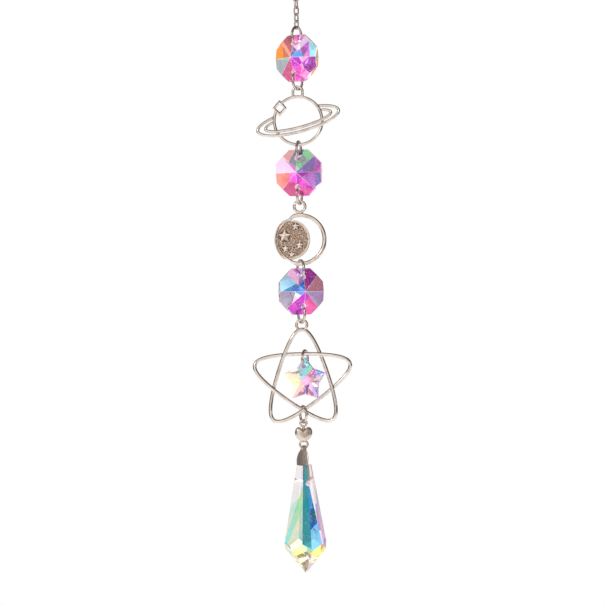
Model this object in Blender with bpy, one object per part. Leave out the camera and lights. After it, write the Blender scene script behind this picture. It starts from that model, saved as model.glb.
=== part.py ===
"""Crystal suncatcher: a chain of cast charms and cut crystals that hangs from one ring.

Metres, +Z up. The front faces -Y. The origin is the top of the hanging ring's hole, where a hook carries it.
"""

from math import acos, asin, atan2, cos, pi, radians, sin, sqrt, tau

import bmesh
import bpy
from mathutils import Matrix, Vector

# How near two pieces that rest on each other come, and how deep a fused form sinks into its neighbour.
CONTACT = 0.00008
SINK = 0.0003

# Hanging ring
HANGER_INNER_RADIUS = 0.0040
HANGER_WIRE = 0.0008

# Chain
LINK_COUNT = 10
LINK_LENGTH = 0.00305
LINK_WIDTH = 0.0019
LINK_WIRE = 0.00045
FIRST_LINK_TURN = radians(90)
LINK_TURN = radians(85)

# Jump rings
RING_WIRE = 0.00075
RING_BORE_CLEARANCE = 0.000086
SMALL_RING_BORE_CLEARANCE = 0.00013
SMALL_RING_TURN = radians(22)

# Octagon beads
BEAD_ACROSS_FLATS = 0.0140
BEAD_DEPTH = 0.0081
BEAD_FACET_SLOPE = 0.481
BEAD_BORE_RADIUS = 0.00085
BEAD_BORE_INSET = 0.0026
BEAD_TURNS = {"top": radians(-31), "middle": radians(-15), "bottom": radians(21)}

# Planet charm
PLANET_OUTER_RADIUS = 0.0077
PLANET_STRAND = 0.00095
PLANET_ARCH_RISE = 0.0030
PLANET_ARCH_WIRE = 0.00085
PLANET_ARCH_WIDTH = 0.0037
PLANET_BAND_WIRE = 0.00095
PLANET_BAND_TILT = radians(14)
PLANET_BAND_SIZES = ((0.0126, 0.00335), (0.0102, 0.0021))
PLANET_BAND_FORWARD = 0.00055
SPARKLE_TURN = radians(145)
SPARKLE_INSET = 0.0005
SPARKLE_WIDTH = 0.0043
SPARKLE_HEIGHT = 0.0050
SPARKLE_WAIST = 0.0017
SPARKLE_HOLE = 0.0012
SPARKLE_THICKNESS = 0.0011

# Moon charm
MOON_OUTER_RADIUS = 0.00805
MOON_WALL = 0.00135
MOON_RIM_THICKNESS = 0.0014
MOON_LOOP_RISE = 0.00185
MOON_LOOP_INNER_RADIUS = 0.0012
MOON_LOOP_WIRE = 0.0009
MOON_DISC_OFFSET = 0.0031
MOON_DISC_RADIUS = 0.0061
MOON_DISC_THICKNESS = 0.0009
MOON_EDGE_WIDTH = 0.0006
MOON_STAR_RISE = 0.00022
MOON_STARS = (
    (-0.0013, 0.0039, 0.00122),
    (-0.0047, 0.0010, 0.00190),
    (-0.0002, -0.0018, 0.00118),
    (-0.0044, -0.0028, 0.00112),
    (-0.0026, -0.0045, 0.00095),
)

# Star frame
FRAME_TIP_RADIUS = 0.0151
FRAME_STRAND_DISTANCE = 0.0077
FRAME_STRAND = 0.00118
FRAME_WEAVE = 0.00036
FRAME_LOOP_RISE = 0.0013
FRAME_LOOP_INNER_RADIUS = 0.00115
FRAME_LOOP_WIRE = 0.00088

# Crystal star
STAR_TIP_RADIUS = 0.00675
STAR_NOTCH_RADIUS = 0.0043
STAR_DEPTH = 0.0065
STAR_GIRDLE = 0.0009
STAR_BORE_RADIUS = 0.0007
STAR_BORE_INSET = 0.00265
STAR_TURN = radians(-20)
STAR_SHIFT = 0.0008

# Heart link
HEART_WIDTH = 0.0053
HEART_HEIGHT = 0.0046
HEART_DEPTH = 0.0024
HEART_FULLNESS = 0.66
HEART_LOBE_LIFT = 1.14
HEART_LOOP_RISE = 0.0012
HEART_LOOP_DROP = 0.0007
HEART_LOOP_WIRE = 0.00065
HEART_NECK_WIRE = 0.00078
HEART_TOP_LOOP_INNER_RADIUS = 0.00062
HEART_LOWER_LOOP_INNER_RADIUS = 0.00085
HEART_TURN = radians(6)

# Pinch bail
BAIL_SHEET = 0.0005
BAIL_FOLD_RADIUS = 0.0005
BAIL_FOLD_WIDTH = 0.0009
BAIL_LEAF_WIDTH = 0.0035
BAIL_LEAF_SIDESTEP = 0.0016
BAIL_BACK_SIDESTEP = 0.0007
BAIL_LEG_WIDTH = 0.0007
BAIL_LEAF_LENGTH = 0.0048
BAIL_LEG_LENGTH = 0.0100
BAIL_PRONG_GAP = 0.0020
BAIL_CORNER_RADIUS = 0.0006
BAIL_NECK = 0.0004
BAIL_CROWN = 0.00018

# Crystal drop
DROP_TURN = radians(21.5)
DROP_TOP_RADIUS = 0.0024
DROP_WIDEST_RADIUS = 0.00677
DROP_SHOULDER_LENGTH = 0.0234
DROP_POINT_LENGTH = 0.0094
DROP_BORE_RADIUS = 0.0008
DROP_BORE_DEPTH = 0.0055

# How finely round forms are cut into flats
TUBE_SIDES = 6
HANGER_STEPS = 28
RING_STEPS = 20
BEND_STEPS = 6
HEART_LOOP_STEPS = 16
BORE_SIDES = 16
FRAME_STEPS = 70
OUTLINE_STEPS = 34

FRONT = Vector((0, -1, 0))
ACROSS_X = Vector((1, 0, 0))
ACROSS_Y = Vector((0, 1, 0))


def clear_scene():
    for obj in list(bpy.data.objects):
        bpy.data.objects.remove(obj, do_unlink=True)


def make_material(name, colour, roughness, metallic, transmission=0.0):
    material = bpy.data.materials.new(name)
    material.use_nodes = True
    shader = material.node_tree.nodes["Principled BSDF"]
    shader.inputs["Base Color"].default_value = (*colour, 1)
    shader.inputs["Roughness"].default_value = roughness
    shader.inputs["Metallic"].default_value = metallic
    shader.inputs["Transmission Weight"].default_value = transmission
    material.diffuse_color = (*colour, 1)
    return material


def add_object(name, mesh_builder, material, smooth=True):
    """Turns a finished bmesh into an object of this name."""
    bmesh.ops.recalc_face_normals(mesh_builder, faces=mesh_builder.faces)
    mesh = bpy.data.meshes.new(name)
    mesh_builder.to_mesh(mesh)
    mesh_builder.free()
    mesh.materials.append(material)
    if smooth:
        mesh.shade_smooth()
        mesh.set_sharp_from_angle(angle=radians(50))
    obj = bpy.data.objects.new(name, mesh)
    bpy.context.scene.collection.objects.link(obj)
    return obj


def add_copy(name, source):
    """A further piece of the same shape, which shares its mesh."""
    obj = bpy.data.objects.new(name, source.data)
    bpy.context.scene.collection.objects.link(obj)
    return obj


def place(obj, parent, height, turn=0.0, shift=0.0):
    obj.location = (shift, 0, height)
    obj.rotation_euler = (0, 0, turn)
    obj.parent = parent


def combine(obj, other, operation, crosses_itself=False):
    """Fuses or cuts obj with other, which stays as a hidden guide."""
    other.hide_render = True
    other.display_type = "WIRE"
    other.parent = obj
    step = obj.modifiers.new(other.name, "BOOLEAN")
    step.operation = operation
    step.solver = "EXACT"
    step.use_self = crosses_itself
    step.object = other


def fuse(obj, others):
    for other in others:
        combine(obj, other, "UNION")


def drill(obj, radius, length, height, name):
    """Bores obj from front to back at this height."""
    cutter = bmesh.new()
    bmesh.ops.create_cone(
        cutter, cap_ends=True, segments=BORE_SIDES, radius1=radius, radius2=radius, depth=length,
        matrix=Matrix.Translation((0, 0, height)) @ Matrix.Rotation(pi / 2, 4, "X"),
    )
    combine(obj, add_object(name, cutter, obj.data.materials[0]), "DIFFERENCE")


def sweep(centres, sections, plane_normal, closed):
    """A bar along centres. Each section lists its corners as (across the path, along the plane's normal)."""
    mesh_builder = bmesh.new()
    count = len(centres)
    rings = []
    for index, centre in enumerate(centres):
        before = centres[(index - 1) % count] if closed or index else centre
        after = centres[(index + 1) % count] if closed or index < count - 1 else centre
        along = (after - before).normalized()
        across = along.cross(plane_normal).normalized()
        rise = across.cross(along)
        rings.append([
            mesh_builder.verts.new(centre + across * side + rise * up) for side, up in sections[index]
        ])
    steps = count if closed else count - 1
    for index in range(steps):
        near, far = rings[index], rings[(index + 1) % count]
        for corner in range(len(near)):
            following = (corner + 1) % len(near)
            mesh_builder.faces.new((near[corner], near[following], far[following], far[corner]))
    if not closed:
        mesh_builder.faces.new(rings[0])
        mesh_builder.faces.new(rings[-1])
    return mesh_builder


def round_section(diameter):
    """Corners of a round wire's section, with one on its inner side and one on its outer side."""
    return [
        (diameter / 2 * cos(tau * side / TUBE_SIDES), diameter / 2 * sin(tau * side / TUBE_SIDES))
        for side in range(TUBE_SIDES)
    ]


def wire(centres, diameter, plane_normal, closed=True):
    return sweep(centres, [round_section(diameter)] * len(centres), plane_normal, closed)


def arc(centre, across, up, radius, start, end, steps):
    """Points of a circle's arc, start and end among them. Angles run from across to up."""
    return [
        centre + across * radius * cos(start + (end - start) * step / steps)
        + up * radius * sin(start + (end - start) * step / steps)
        for step in range(steps + 1)
    ]


def wire_ring(inner_radius, diameter, plane_normal, height=0.0, steps=RING_STEPS):
    """A closed ring of round wire that stands upright, with a corner at its top and its bottom."""
    up = Vector((0, 0, 1))
    centre = Vector((0, 0, height))
    points = arc(centre, plane_normal.cross(up), up, inner_radius + diameter / 2, pi / 2, pi / 2 + tau, steps)
    return wire(points[:-1], diameter, plane_normal)


def plate(outline, back, front):
    """A flat plate in the XZ plane between two depths. The outline lists (x, z)."""
    mesh_builder = bmesh.new()
    rows = [[mesh_builder.verts.new((x, -depth, z)) for x, z in outline] for depth in (back, front)]
    count = len(outline)
    for index in range(count):
        following = (index + 1) % count
        mesh_builder.faces.new((rows[0][index], rows[0][following], rows[1][following], rows[1][index]))
    mesh_builder.faces.new(rows[0])
    mesh_builder.faces.new(rows[1])
    return mesh_builder


def cut_block(half_size, planes):
    """A block with what lies outside each plane cut off. A plane is (point, outward normal)."""
    block = bmesh.new()
    bmesh.ops.create_cube(block, size=2 * half_size)
    for point, outward in planes:
        geometry = block.verts[:] + block.edges[:] + block.faces[:]
        cut = bmesh.ops.bisect_plane(
            block, geom=geometry, dist=1e-7, plane_co=point, plane_no=outward, clear_outer=True
        )
        edges = [item for item in cut["geom_cut"] if isinstance(item, bmesh.types.BMEdge)]
        bmesh.ops.edgeloop_fill(block, edges=edges)
    bmesh.ops.remove_doubles(block, verts=block.verts, dist=1e-7)
    return block


def hung_height(support, hole_top):
    """Height of a piece that hangs on a support by a hole whose top is hole_top above the piece's zero."""
    return support + CONTACT - hole_top


def drop_from_ring(ring_radius, bore_radius, half_thickness):
    """How far a bore's centre hangs below the ring through it: the bore's two mouths touch the ring."""
    return bore_radius + sqrt((ring_radius - CONTACT) ** 2 - half_thickness ** 2)


def bead_bore_offset():
    return BEAD_ACROSS_FLATS / 2 - BEAD_BORE_INSET


def star_bore_offset():
    return STAR_TIP_RADIUS - STAR_BORE_INSET


def planet_arch_top():
    return PLANET_OUTER_RADIUS + PLANET_ARCH_RISE


def moon_loop_height():
    return MOON_OUTER_RADIUS + MOON_LOOP_RISE


def frame_loop_height():
    return FRAME_TIP_RADIUS + FRAME_LOOP_RISE


def heart_top_loop_height():
    return HEART_HEIGHT / 2 + HEART_LOOP_RISE


def heart_lower_loop_depth():
    return HEART_HEIGHT / 2 + HEART_LOOP_DROP


def ring_inner_radius():
    """Inner radius of the rings that pass through the octagon beads."""
    half_thickness = bead_half_thickness(bead_bore_offset() + BEAD_BORE_RADIUS)
    return ring_radius_through(BEAD_BORE_RADIUS, half_thickness, RING_BORE_CLEARANCE)


def small_ring_inner_radius():
    """Inner radius of the rings at the crystal star and above the heart."""
    half_thickness = star_half_thickness(star_bore_offset() + STAR_BORE_RADIUS)
    return ring_radius_through(STAR_BORE_RADIUS, half_thickness, SMALL_RING_BORE_CLEARANCE)


def ring_radius_through(bore_radius, half_thickness, clearance):
    """Inner radius of a ring that rests on a bore's mouths and stays this clear of its far side."""
    room = 2 * bore_radius - RING_WIRE - clearance
    return (half_thickness ** 2 + room ** 2 - CONTACT ** 2) / (2 * (room - CONTACT))


def bead_half_thickness(radius):
    return BEAD_DEPTH / 2 - BEAD_FACET_SLOPE * radius * cos(pi / 8)


def star_half_thickness(radius):
    return STAR_DEPTH / 2 - (STAR_DEPTH - STAR_GIRDLE) / 2 * radius / STAR_TIP_RADIUS


def chain_link(name, material):
    """An oblong link in the XZ plane."""
    bend = (LINK_WIDTH - LINK_WIRE) / 2
    straight = (LINK_LENGTH - LINK_WIDTH) / 2
    up = Vector((0, 0, 1))
    top = arc(up * straight, ACROSS_X, up, bend, 0, pi, BEND_STEPS)
    bottom = arc(-up * straight, ACROSS_X, up, bend, pi, tau, BEND_STEPS)
    return add_object(name, wire(top + bottom, LINK_WIRE, ACROSS_Y), material)


def octagon_bead(name, material):
    """A bead with eight kite facets a side, each over a corner of its outline, and a bore near two edges."""
    planes = []
    for corner in range(8):
        edge_turn = tau * corner / 8
        outward = Vector((cos(edge_turn), 0, sin(edge_turn)))
        planes.append((outward * BEAD_ACROSS_FLATS / 2, outward))
        facet_turn = edge_turn + pi / 8
        slope = Vector((cos(facet_turn), 0, sin(facet_turn))) * BEAD_FACET_SLOPE
        for side in (FRONT, -FRONT):
            planes.append((side * BEAD_DEPTH / 2, (side + slope).normalized()))
    bead = add_object(name, cut_block(BEAD_ACROSS_FLATS, planes), material, smooth=False)
    for position, height in (("upper", bead_bore_offset()), ("lower", -bead_bore_offset())):
        drill(bead, BEAD_BORE_RADIUS, 2 * BEAD_DEPTH, height, f"{name}_{position}_bore")
    return bead


def planet_band(width, height, ring_radius):
    """One strand of the planet's ring: in front of the outline below, and ending on its strand above."""
    meeting = sqrt((ring_radius ** 2 - height ** 2) / (width ** 2 - height ** 2))
    reach = asin(meeting)
    tilt = Matrix.Rotation(-PLANET_BAND_TILT, 3, "Y")
    start = pi / 2 + reach
    end = tau + pi / 2 - reach
    points = []
    for step in range(OUTLINE_STEPS + 1):
        angle = start + (end - start) * step / OUTLINE_STEPS
        flat = Vector((width * cos(angle), 0, height * sin(angle)))
        points.append(tilt @ flat + ACROSS_Y * PLANET_BAND_FORWARD * sin(angle))
    return wire(points, PLANET_BAND_WIRE, ACROSS_Y, closed=False)


def sparkle(name, material):
    """A four-point star with an open middle, on the planet's outline."""
    reach = PLANET_OUTER_RADIUS - PLANET_STRAND / 2 - SPARKLE_INSET
    centre_x, centre_z = reach * cos(SPARKLE_TURN), reach * sin(SPARKLE_TURN)
    outline = []
    for quarter in range(4):
        turn = quarter * pi / 2
        reach = SPARKLE_WIDTH / 2 if quarter % 2 == 0 else SPARKLE_HEIGHT / 2
        outline.append((centre_x + reach * cos(turn), centre_z + reach * sin(turn)))
        waist = turn + pi / 4
        outline.append((centre_x + SPARKLE_WAIST * cos(waist), centre_z + SPARKLE_WAIST * sin(waist)))
    hole = [
        (centre_x + SPARKLE_HOLE * cos(quarter * pi / 2), centre_z + SPARKLE_HOLE * sin(quarter * pi / 2))
        for quarter in range(4)
    ]
    body = add_object(name, plate(outline, -SPARKLE_THICKNESS / 2, SPARKLE_THICKNESS / 2), material)
    window = add_object(f"{name}_window", plate(hole, -SPARKLE_THICKNESS, SPARKLE_THICKNESS), material)
    return body, window


def planet_charm(name, material):
    """An open planet outline with a tilted double ring, a sparkle and an arch to hang by."""
    up = Vector((0, 0, 1))
    ring_radius = PLANET_OUTER_RADIUS - PLANET_STRAND / 2
    inner = PLANET_OUTER_RADIUS - PLANET_STRAND
    charm = add_object(name, wire_ring(inner, PLANET_STRAND, ACROSS_Y, steps=OUTLINE_STEPS), material)
    arch_radius = (PLANET_ARCH_WIDTH - PLANET_ARCH_WIRE) / 2
    arch_centre = up * (planet_arch_top() - PLANET_ARCH_WIDTH / 2)
    foot = up * sqrt(ring_radius ** 2 - arch_radius ** 2)
    points = arc(arch_centre, ACROSS_X, up, arch_radius, 0, pi, 2 * BEND_STEPS)
    points = [foot + ACROSS_X * arch_radius, *points, foot - ACROSS_X * arch_radius]
    arch = add_object(f"{name}_arch", wire(points, PLANET_ARCH_WIRE, ACROSS_Y, closed=False), material)
    bands = [
        add_object(f"{name}_band_{number}", planet_band(width, height, ring_radius), material)
        for number, (width, height) in enumerate(PLANET_BAND_SIZES)
    ]
    body, window = sparkle(f"{name}_sparkle", material)
    fuse(charm, [arch, *bands, body])
    combine(charm, window, "DIFFERENCE")
    return charm


def star_outline(centre_x, centre_z, tip, notch):
    """Ten corners of a five-point star with one tip up."""
    corners = []
    for corner in range(10):
        turn = pi / 2 + tau * corner / 10
        reach = notch if corner % 2 else tip
        corners.append((centre_x + reach * cos(turn), centre_z + reach * sin(turn)))
    return corners


def moon_disc_outline():
    """The disc that fills the left of the ring, cut by the middle of the ring's wall."""
    limit = MOON_OUTER_RADIUS - MOON_WALL / 2
    corners = []
    for step in range(OUTLINE_STEPS):
        turn = tau * step / OUTLINE_STEPS
        x = MOON_DISC_RADIUS * cos(turn) - MOON_DISC_OFFSET
        z = MOON_DISC_RADIUS * sin(turn)
        shrink = min(1.0, limit / sqrt(x * x + z * z))
        corners.append((x * shrink, z * shrink))
    return corners


def moon_edge(name, material):
    """The raised line along the disc's open side."""
    limit = MOON_OUTER_RADIUS - MOON_WALL / 2
    radius = MOON_DISC_RADIUS - MOON_EDGE_WIDTH / 2
    spread = radius ** 2 + MOON_DISC_OFFSET ** 2 - limit ** 2
    reach = acos(spread / (2 * radius * MOON_DISC_OFFSET))
    points = arc(-ACROSS_X * MOON_DISC_OFFSET, ACROSS_X, Vector((0, 0, 1)), radius, -reach, reach, RING_STEPS)
    half_width, half_rise = MOON_EDGE_WIDTH / 2, MOON_RIM_THICKNESS / 2 - MOON_STAR_RISE / 2
    section = [
        (-half_width, -half_rise), (half_width, -half_rise),
        (half_width, half_rise), (-half_width, half_rise),
    ]
    return add_object(name, sweep(points, [section] * len(points), ACROSS_Y, False), material)


def moon_rim_section():
    """The ring's wall: flat on its inner side, with its outer corners taken off."""
    half_wall, half_depth = MOON_WALL / 2, MOON_RIM_THICKNESS / 2
    corner = MOON_RIM_THICKNESS / 4
    return [
        (-half_wall, -half_depth), (half_wall - corner, -half_depth), (half_wall, corner - half_depth),
        (half_wall, half_depth - corner), (half_wall - corner, half_depth), (-half_wall, half_depth),
    ]


def moon_charm(name, material):
    """A ring that holds a full disc on the left, which leaves an open crescent on the right."""
    up = Vector((0, 0, 1))
    middle = MOON_OUTER_RADIUS - MOON_WALL / 2
    points = arc(Vector((0, 0, 0)), ACROSS_X, up, middle, pi / 2, pi / 2 + tau, OUTLINE_STEPS)[:-1]
    charm = add_object(name, sweep(points, [moon_rim_section()] * len(points), ACROSS_Y, True), material)
    half_disc = MOON_DISC_THICKNESS / 2
    loop = wire_ring(MOON_LOOP_INNER_RADIUS, MOON_LOOP_WIRE, ACROSS_Y, moon_loop_height())
    pieces = [
        add_object(f"{name}_disc", plate(moon_disc_outline(), -half_disc, half_disc), material),
        moon_edge(f"{name}_edge", material),
        add_object(f"{name}_loop", loop, material),
    ]
    for number, (x, z, reach) in enumerate(MOON_STARS):
        outline = star_outline(x, z, reach, reach / 2)
        raised = plate(outline, 0, half_disc + MOON_STAR_RISE)
        pieces.append(add_object(f"{name}_star_{number}", raised, material))
    fuse(charm, pieces)
    return charm


def frame_point(turn):
    """A point of the five-lobed strand, which passes over and under itself five times in a round."""
    near = (FRAME_TIP_RADIUS + FRAME_STRAND_DISTANCE) / 2
    far = (FRAME_TIP_RADIUS - FRAME_STRAND_DISTANCE) / 2
    across = near * sin(2 * turn) - far * sin(3 * turn)
    rise = near * cos(2 * turn) + far * cos(3 * turn)
    return Vector((across, FRAME_WEAVE * sin(5 * turn), rise))


def frame_crossing():
    """Height and slope of the strand at its lowest crossing, on the middle line, found by halving."""
    low, high = radians(90), radians(130)
    for _ in range(60):
        middle = (low + high) / 2
        if frame_point(middle).x * frame_point(low).x > 0:
            low = middle
        else:
            high = middle
    step = frame_point(low + 0.001) - frame_point(low - 0.001)
    return frame_point(low).z, abs(atan2(step.z, step.x))


def star_frame(name, material):
    """One strand woven into an open star, with a loop on its top lobe."""
    points = [frame_point(tau * (step + 0.5) / FRAME_STEPS) for step in range(FRAME_STEPS)]
    frame = add_object(name, wire(points, FRAME_STRAND, ACROSS_Y), material)
    loop = wire_ring(FRAME_LOOP_INNER_RADIUS, FRAME_LOOP_WIRE, ACROSS_Y, frame_loop_height())
    combine(frame, add_object(f"{name}_loop", loop, material), "UNION", crosses_itself=True)
    return frame


def crystal_star(name, material):
    """A five-point star, ridged to its tips and hollowed to its notches, bored in its top tip."""
    mesh_builder = bmesh.new()
    outline = star_outline(0, 0, STAR_TIP_RADIUS, STAR_NOTCH_RADIUS)
    girdle = [
        [mesh_builder.verts.new((x, side * STAR_GIRDLE / 2, z)) for x, z in outline] for side in (-1, 1)
    ]
    for side, row in zip((-1, 1), girdle):
        apex = mesh_builder.verts.new((0, side * STAR_DEPTH / 2, 0))
        for corner in range(10):
            mesh_builder.faces.new((apex, row[corner], row[(corner + 1) % 10]))
    for corner in range(10):
        following = (corner + 1) % 10
        near, far = girdle
        mesh_builder.faces.new((near[corner], near[following], far[following], far[corner]))
    star = add_object(name, mesh_builder, material, smooth=False)
    drill(star, STAR_BORE_RADIUS, 2 * STAR_DEPTH, star_bore_offset(), f"{name}_bore")
    return star


def heart_corner(turn):
    """A point of the heart's outline as (x, z), with its notch up and z from +1 to -1 half heights."""
    across = sin(turn) ** 3 + (sin(turn) - sin(turn) ** 3) * HEART_FULLNESS
    rise = (13 * cos(turn) - 5 * cos(2 * turn) - 2 * cos(3 * turn) - cos(4 * turn) + 2.5) / 14.5
    rise += (cos(turn) - rise) * HEART_FULLNESS * (1 - 0.45 * cos(turn)) / 1.45
    rise *= HEART_LOBE_LIFT if rise > 0 else 1
    return across * HEART_WIDTH / 2, rise * HEART_HEIGHT / 2


def heart_body():
    """A puffed heart: shrunken copies of its outline, each further forward or back."""
    mesh_builder = bmesh.new()
    outline = [heart_corner(tau * step / RING_STEPS) for step in range(RING_STEPS)]
    layers = []
    for puff in (-90, -55, -25, 25, 55, 90):
        shrink = cos(radians(puff)) ** 0.6 if abs(puff) < 90 else 0.0
        depth = HEART_DEPTH / 2 * sin(radians(puff))
        if shrink:
            layers.append([mesh_builder.verts.new((x * shrink, depth, z * shrink)) for x, z in outline])
        else:
            layers.append([mesh_builder.verts.new((0, depth, 0))] * RING_STEPS)
    for near, far in zip(layers, layers[1:]):
        for step in range(RING_STEPS):
            following = (step + 1) % RING_STEPS
            corners = [near[step], near[following], far[following], far[step]]
            mesh_builder.faces.new(list(dict.fromkeys(corners)))
    return mesh_builder


def heart_link(name, material):
    """A puffed heart with a loop above its notch and a wider loop below its point."""
    heart = add_object(name, heart_body(), material)
    notch = heart_corner(0)[1]
    loop_bottom = heart_top_loop_height() - HEART_TOP_LOOP_INNER_RADIUS - HEART_LOOP_WIRE / 2
    neck_heights = (notch - 2 * SINK, (notch + loop_bottom) / 2, loop_bottom)
    neck_points = [Vector((0, 0, height)) for height in neck_heights]
    loops = [
        ("top", HEART_TOP_LOOP_INNER_RADIUS, heart_top_loop_height()),
        ("lower", HEART_LOWER_LOOP_INNER_RADIUS, -heart_lower_loop_depth()),
    ]
    pieces = [add_object(f"{name}_neck", wire(neck_points, HEART_NECK_WIRE, ACROSS_Y, False), material)]
    for position, radius, height in loops:
        loop = wire_ring(radius, HEART_LOOP_WIRE, ACROSS_Y, height, HEART_LOOP_STEPS)
        pieces.append(add_object(f"{name}_{position}_loop", loop, material))
    fuse(heart, pieces)
    return heart


def drop_apothem(depth):
    """Distance from the drop's axis to a long facet, at this depth below its flat top."""
    widening = (DROP_WIDEST_RADIUS - DROP_TOP_RADIUS) * depth / DROP_SHOULDER_LENGTH
    return (DROP_TOP_RADIUS + widening) * cos(pi / 6)


def prong_offset():
    """How far the bail's prongs sit above the middle of the drop's bore, which rests on them."""
    return sqrt(DROP_BORE_RADIUS ** 2 - (BAIL_LEG_WIDTH / 2) ** 2) - BAIL_SHEET / 2 - CONTACT


def bail_side(leaf_sidestep):
    """Half the bail from fold to prong, in stations of (forward, height, width, sidestep)."""
    fold = BAIL_FOLD_RADIUS + BAIL_SHEET / 2
    at_drop_top = drop_apothem(0) + 2 * CONTACT + BAIL_SHEET
    at_bore = drop_apothem(DROP_BORE_DEPTH) + 2 * CONTACT + BAIL_SHEET
    stations = []
    for step in range(BEND_STEPS + 1):
        share = step / BEND_STEPS
        spread = sqrt(sin(share * pi / 2))
        width = BAIL_FOLD_WIDTH + (BAIL_LEAF_WIDTH - BAIL_FOLD_WIDTH) * spread
        forward = fold + (at_drop_top - fold) * share
        stations.append((forward, -BAIL_LEAF_LENGTH * share, width, leaf_sidestep * spread))
    leg_top = BAIL_LEAF_LENGTH + BAIL_NECK
    leg_bottom = BAIL_LEG_LENGTH - BAIL_CORNER_RADIUS
    leg_steps = BEND_STEPS - 2
    for step in range(leg_steps + 1):
        share = step / leg_steps
        height = leg_top + (leg_bottom - leg_top) * share
        depth = (height - BAIL_LEAF_LENGTH) / (leg_bottom - BAIL_LEAF_LENGTH)
        stations.append((at_drop_top + (at_bore - at_drop_top) * depth, -height, BAIL_LEG_WIDTH, 0.0))
    for turn in (30, 60, 90):
        inward = BAIL_CORNER_RADIUS * (1 - cos(radians(turn)))
        down = BAIL_CORNER_RADIUS * sin(radians(turn))
        stations.append((at_bore - inward, -leg_bottom - down, BAIL_LEG_WIDTH, 0.0))
    stations.append((BAIL_PRONG_GAP / 2, -BAIL_LEG_LENGTH, BAIL_LEG_WIDTH, 0.0))
    return stations


def pinch_bail(name, material):
    """One folded strip: two crowned leaves that stand to either side, two legs and two prongs."""
    front = bail_side(BAIL_LEAF_SIDESTEP)
    fold = BAIL_FOLD_RADIUS + BAIL_SHEET / 2
    over = [
        (fold * cos(radians(turn)), fold * sin(radians(turn)), BAIL_FOLD_WIDTH, 0.0)
        for turn in range(30, 180, 30)
    ]
    back = [(-forward, height, width, sidestep) for forward, height, width, sidestep in bail_side(-BAIL_BACK_SIDESTEP)]
    path = [*reversed(front), *over, *back]
    centres = [Vector((0, -forward, height)) for forward, height, _, _ in path]
    sections = []
    for _, _, width, sidestep in path:
        left, right, thick = -sidestep - width / 2, width / 2 - sidestep, BAIL_SHEET / 2
        crown = BAIL_CROWN * (width - BAIL_LEG_WIDTH) / (BAIL_LEAF_WIDTH - BAIL_LEG_WIDTH)
        sections.append([
            (thick, left), (thick + crown, -sidestep), (thick, right),
            (-thick, right), (crown - thick, -sidestep), (-thick, left),
        ])
    return add_object(name, sweep(centres, sections, ACROSS_X, False), material)


def crystal_drop(name, material):
    """A six-sided icicle that widens down to a six-facet point, bored near its flat top."""
    planes = [(Vector((0, 0, 0)), Vector((0, 0, 1)))]
    tip = Vector((0, 0, -DROP_SHOULDER_LENGTH - DROP_POINT_LENGTH))
    widening = (drop_apothem(DROP_SHOULDER_LENGTH) - drop_apothem(0)) / DROP_SHOULDER_LENGTH
    narrowing = DROP_WIDEST_RADIUS / DROP_POINT_LENGTH
    for side in range(6):
        turn = -pi / 2 + tau * side / 6
        outward = Vector((cos(turn), sin(turn), 0))
        planes.append((outward * drop_apothem(0), (outward + Vector((0, 0, widening))).normalized()))
        edge = Vector((cos(turn + pi / 6), sin(turn + pi / 6), 0))
        planes.append((tip, (edge - Vector((0, 0, narrowing))).normalized()))
    drop = add_object(name, cut_block(DROP_SHOULDER_LENGTH * 2, planes), material, smooth=False)
    drill(drop, DROP_BORE_RADIUS, 4 * DROP_WIDEST_RADIUS, -DROP_BORE_DEPTH, f"{name}_bore")
    return drop


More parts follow.
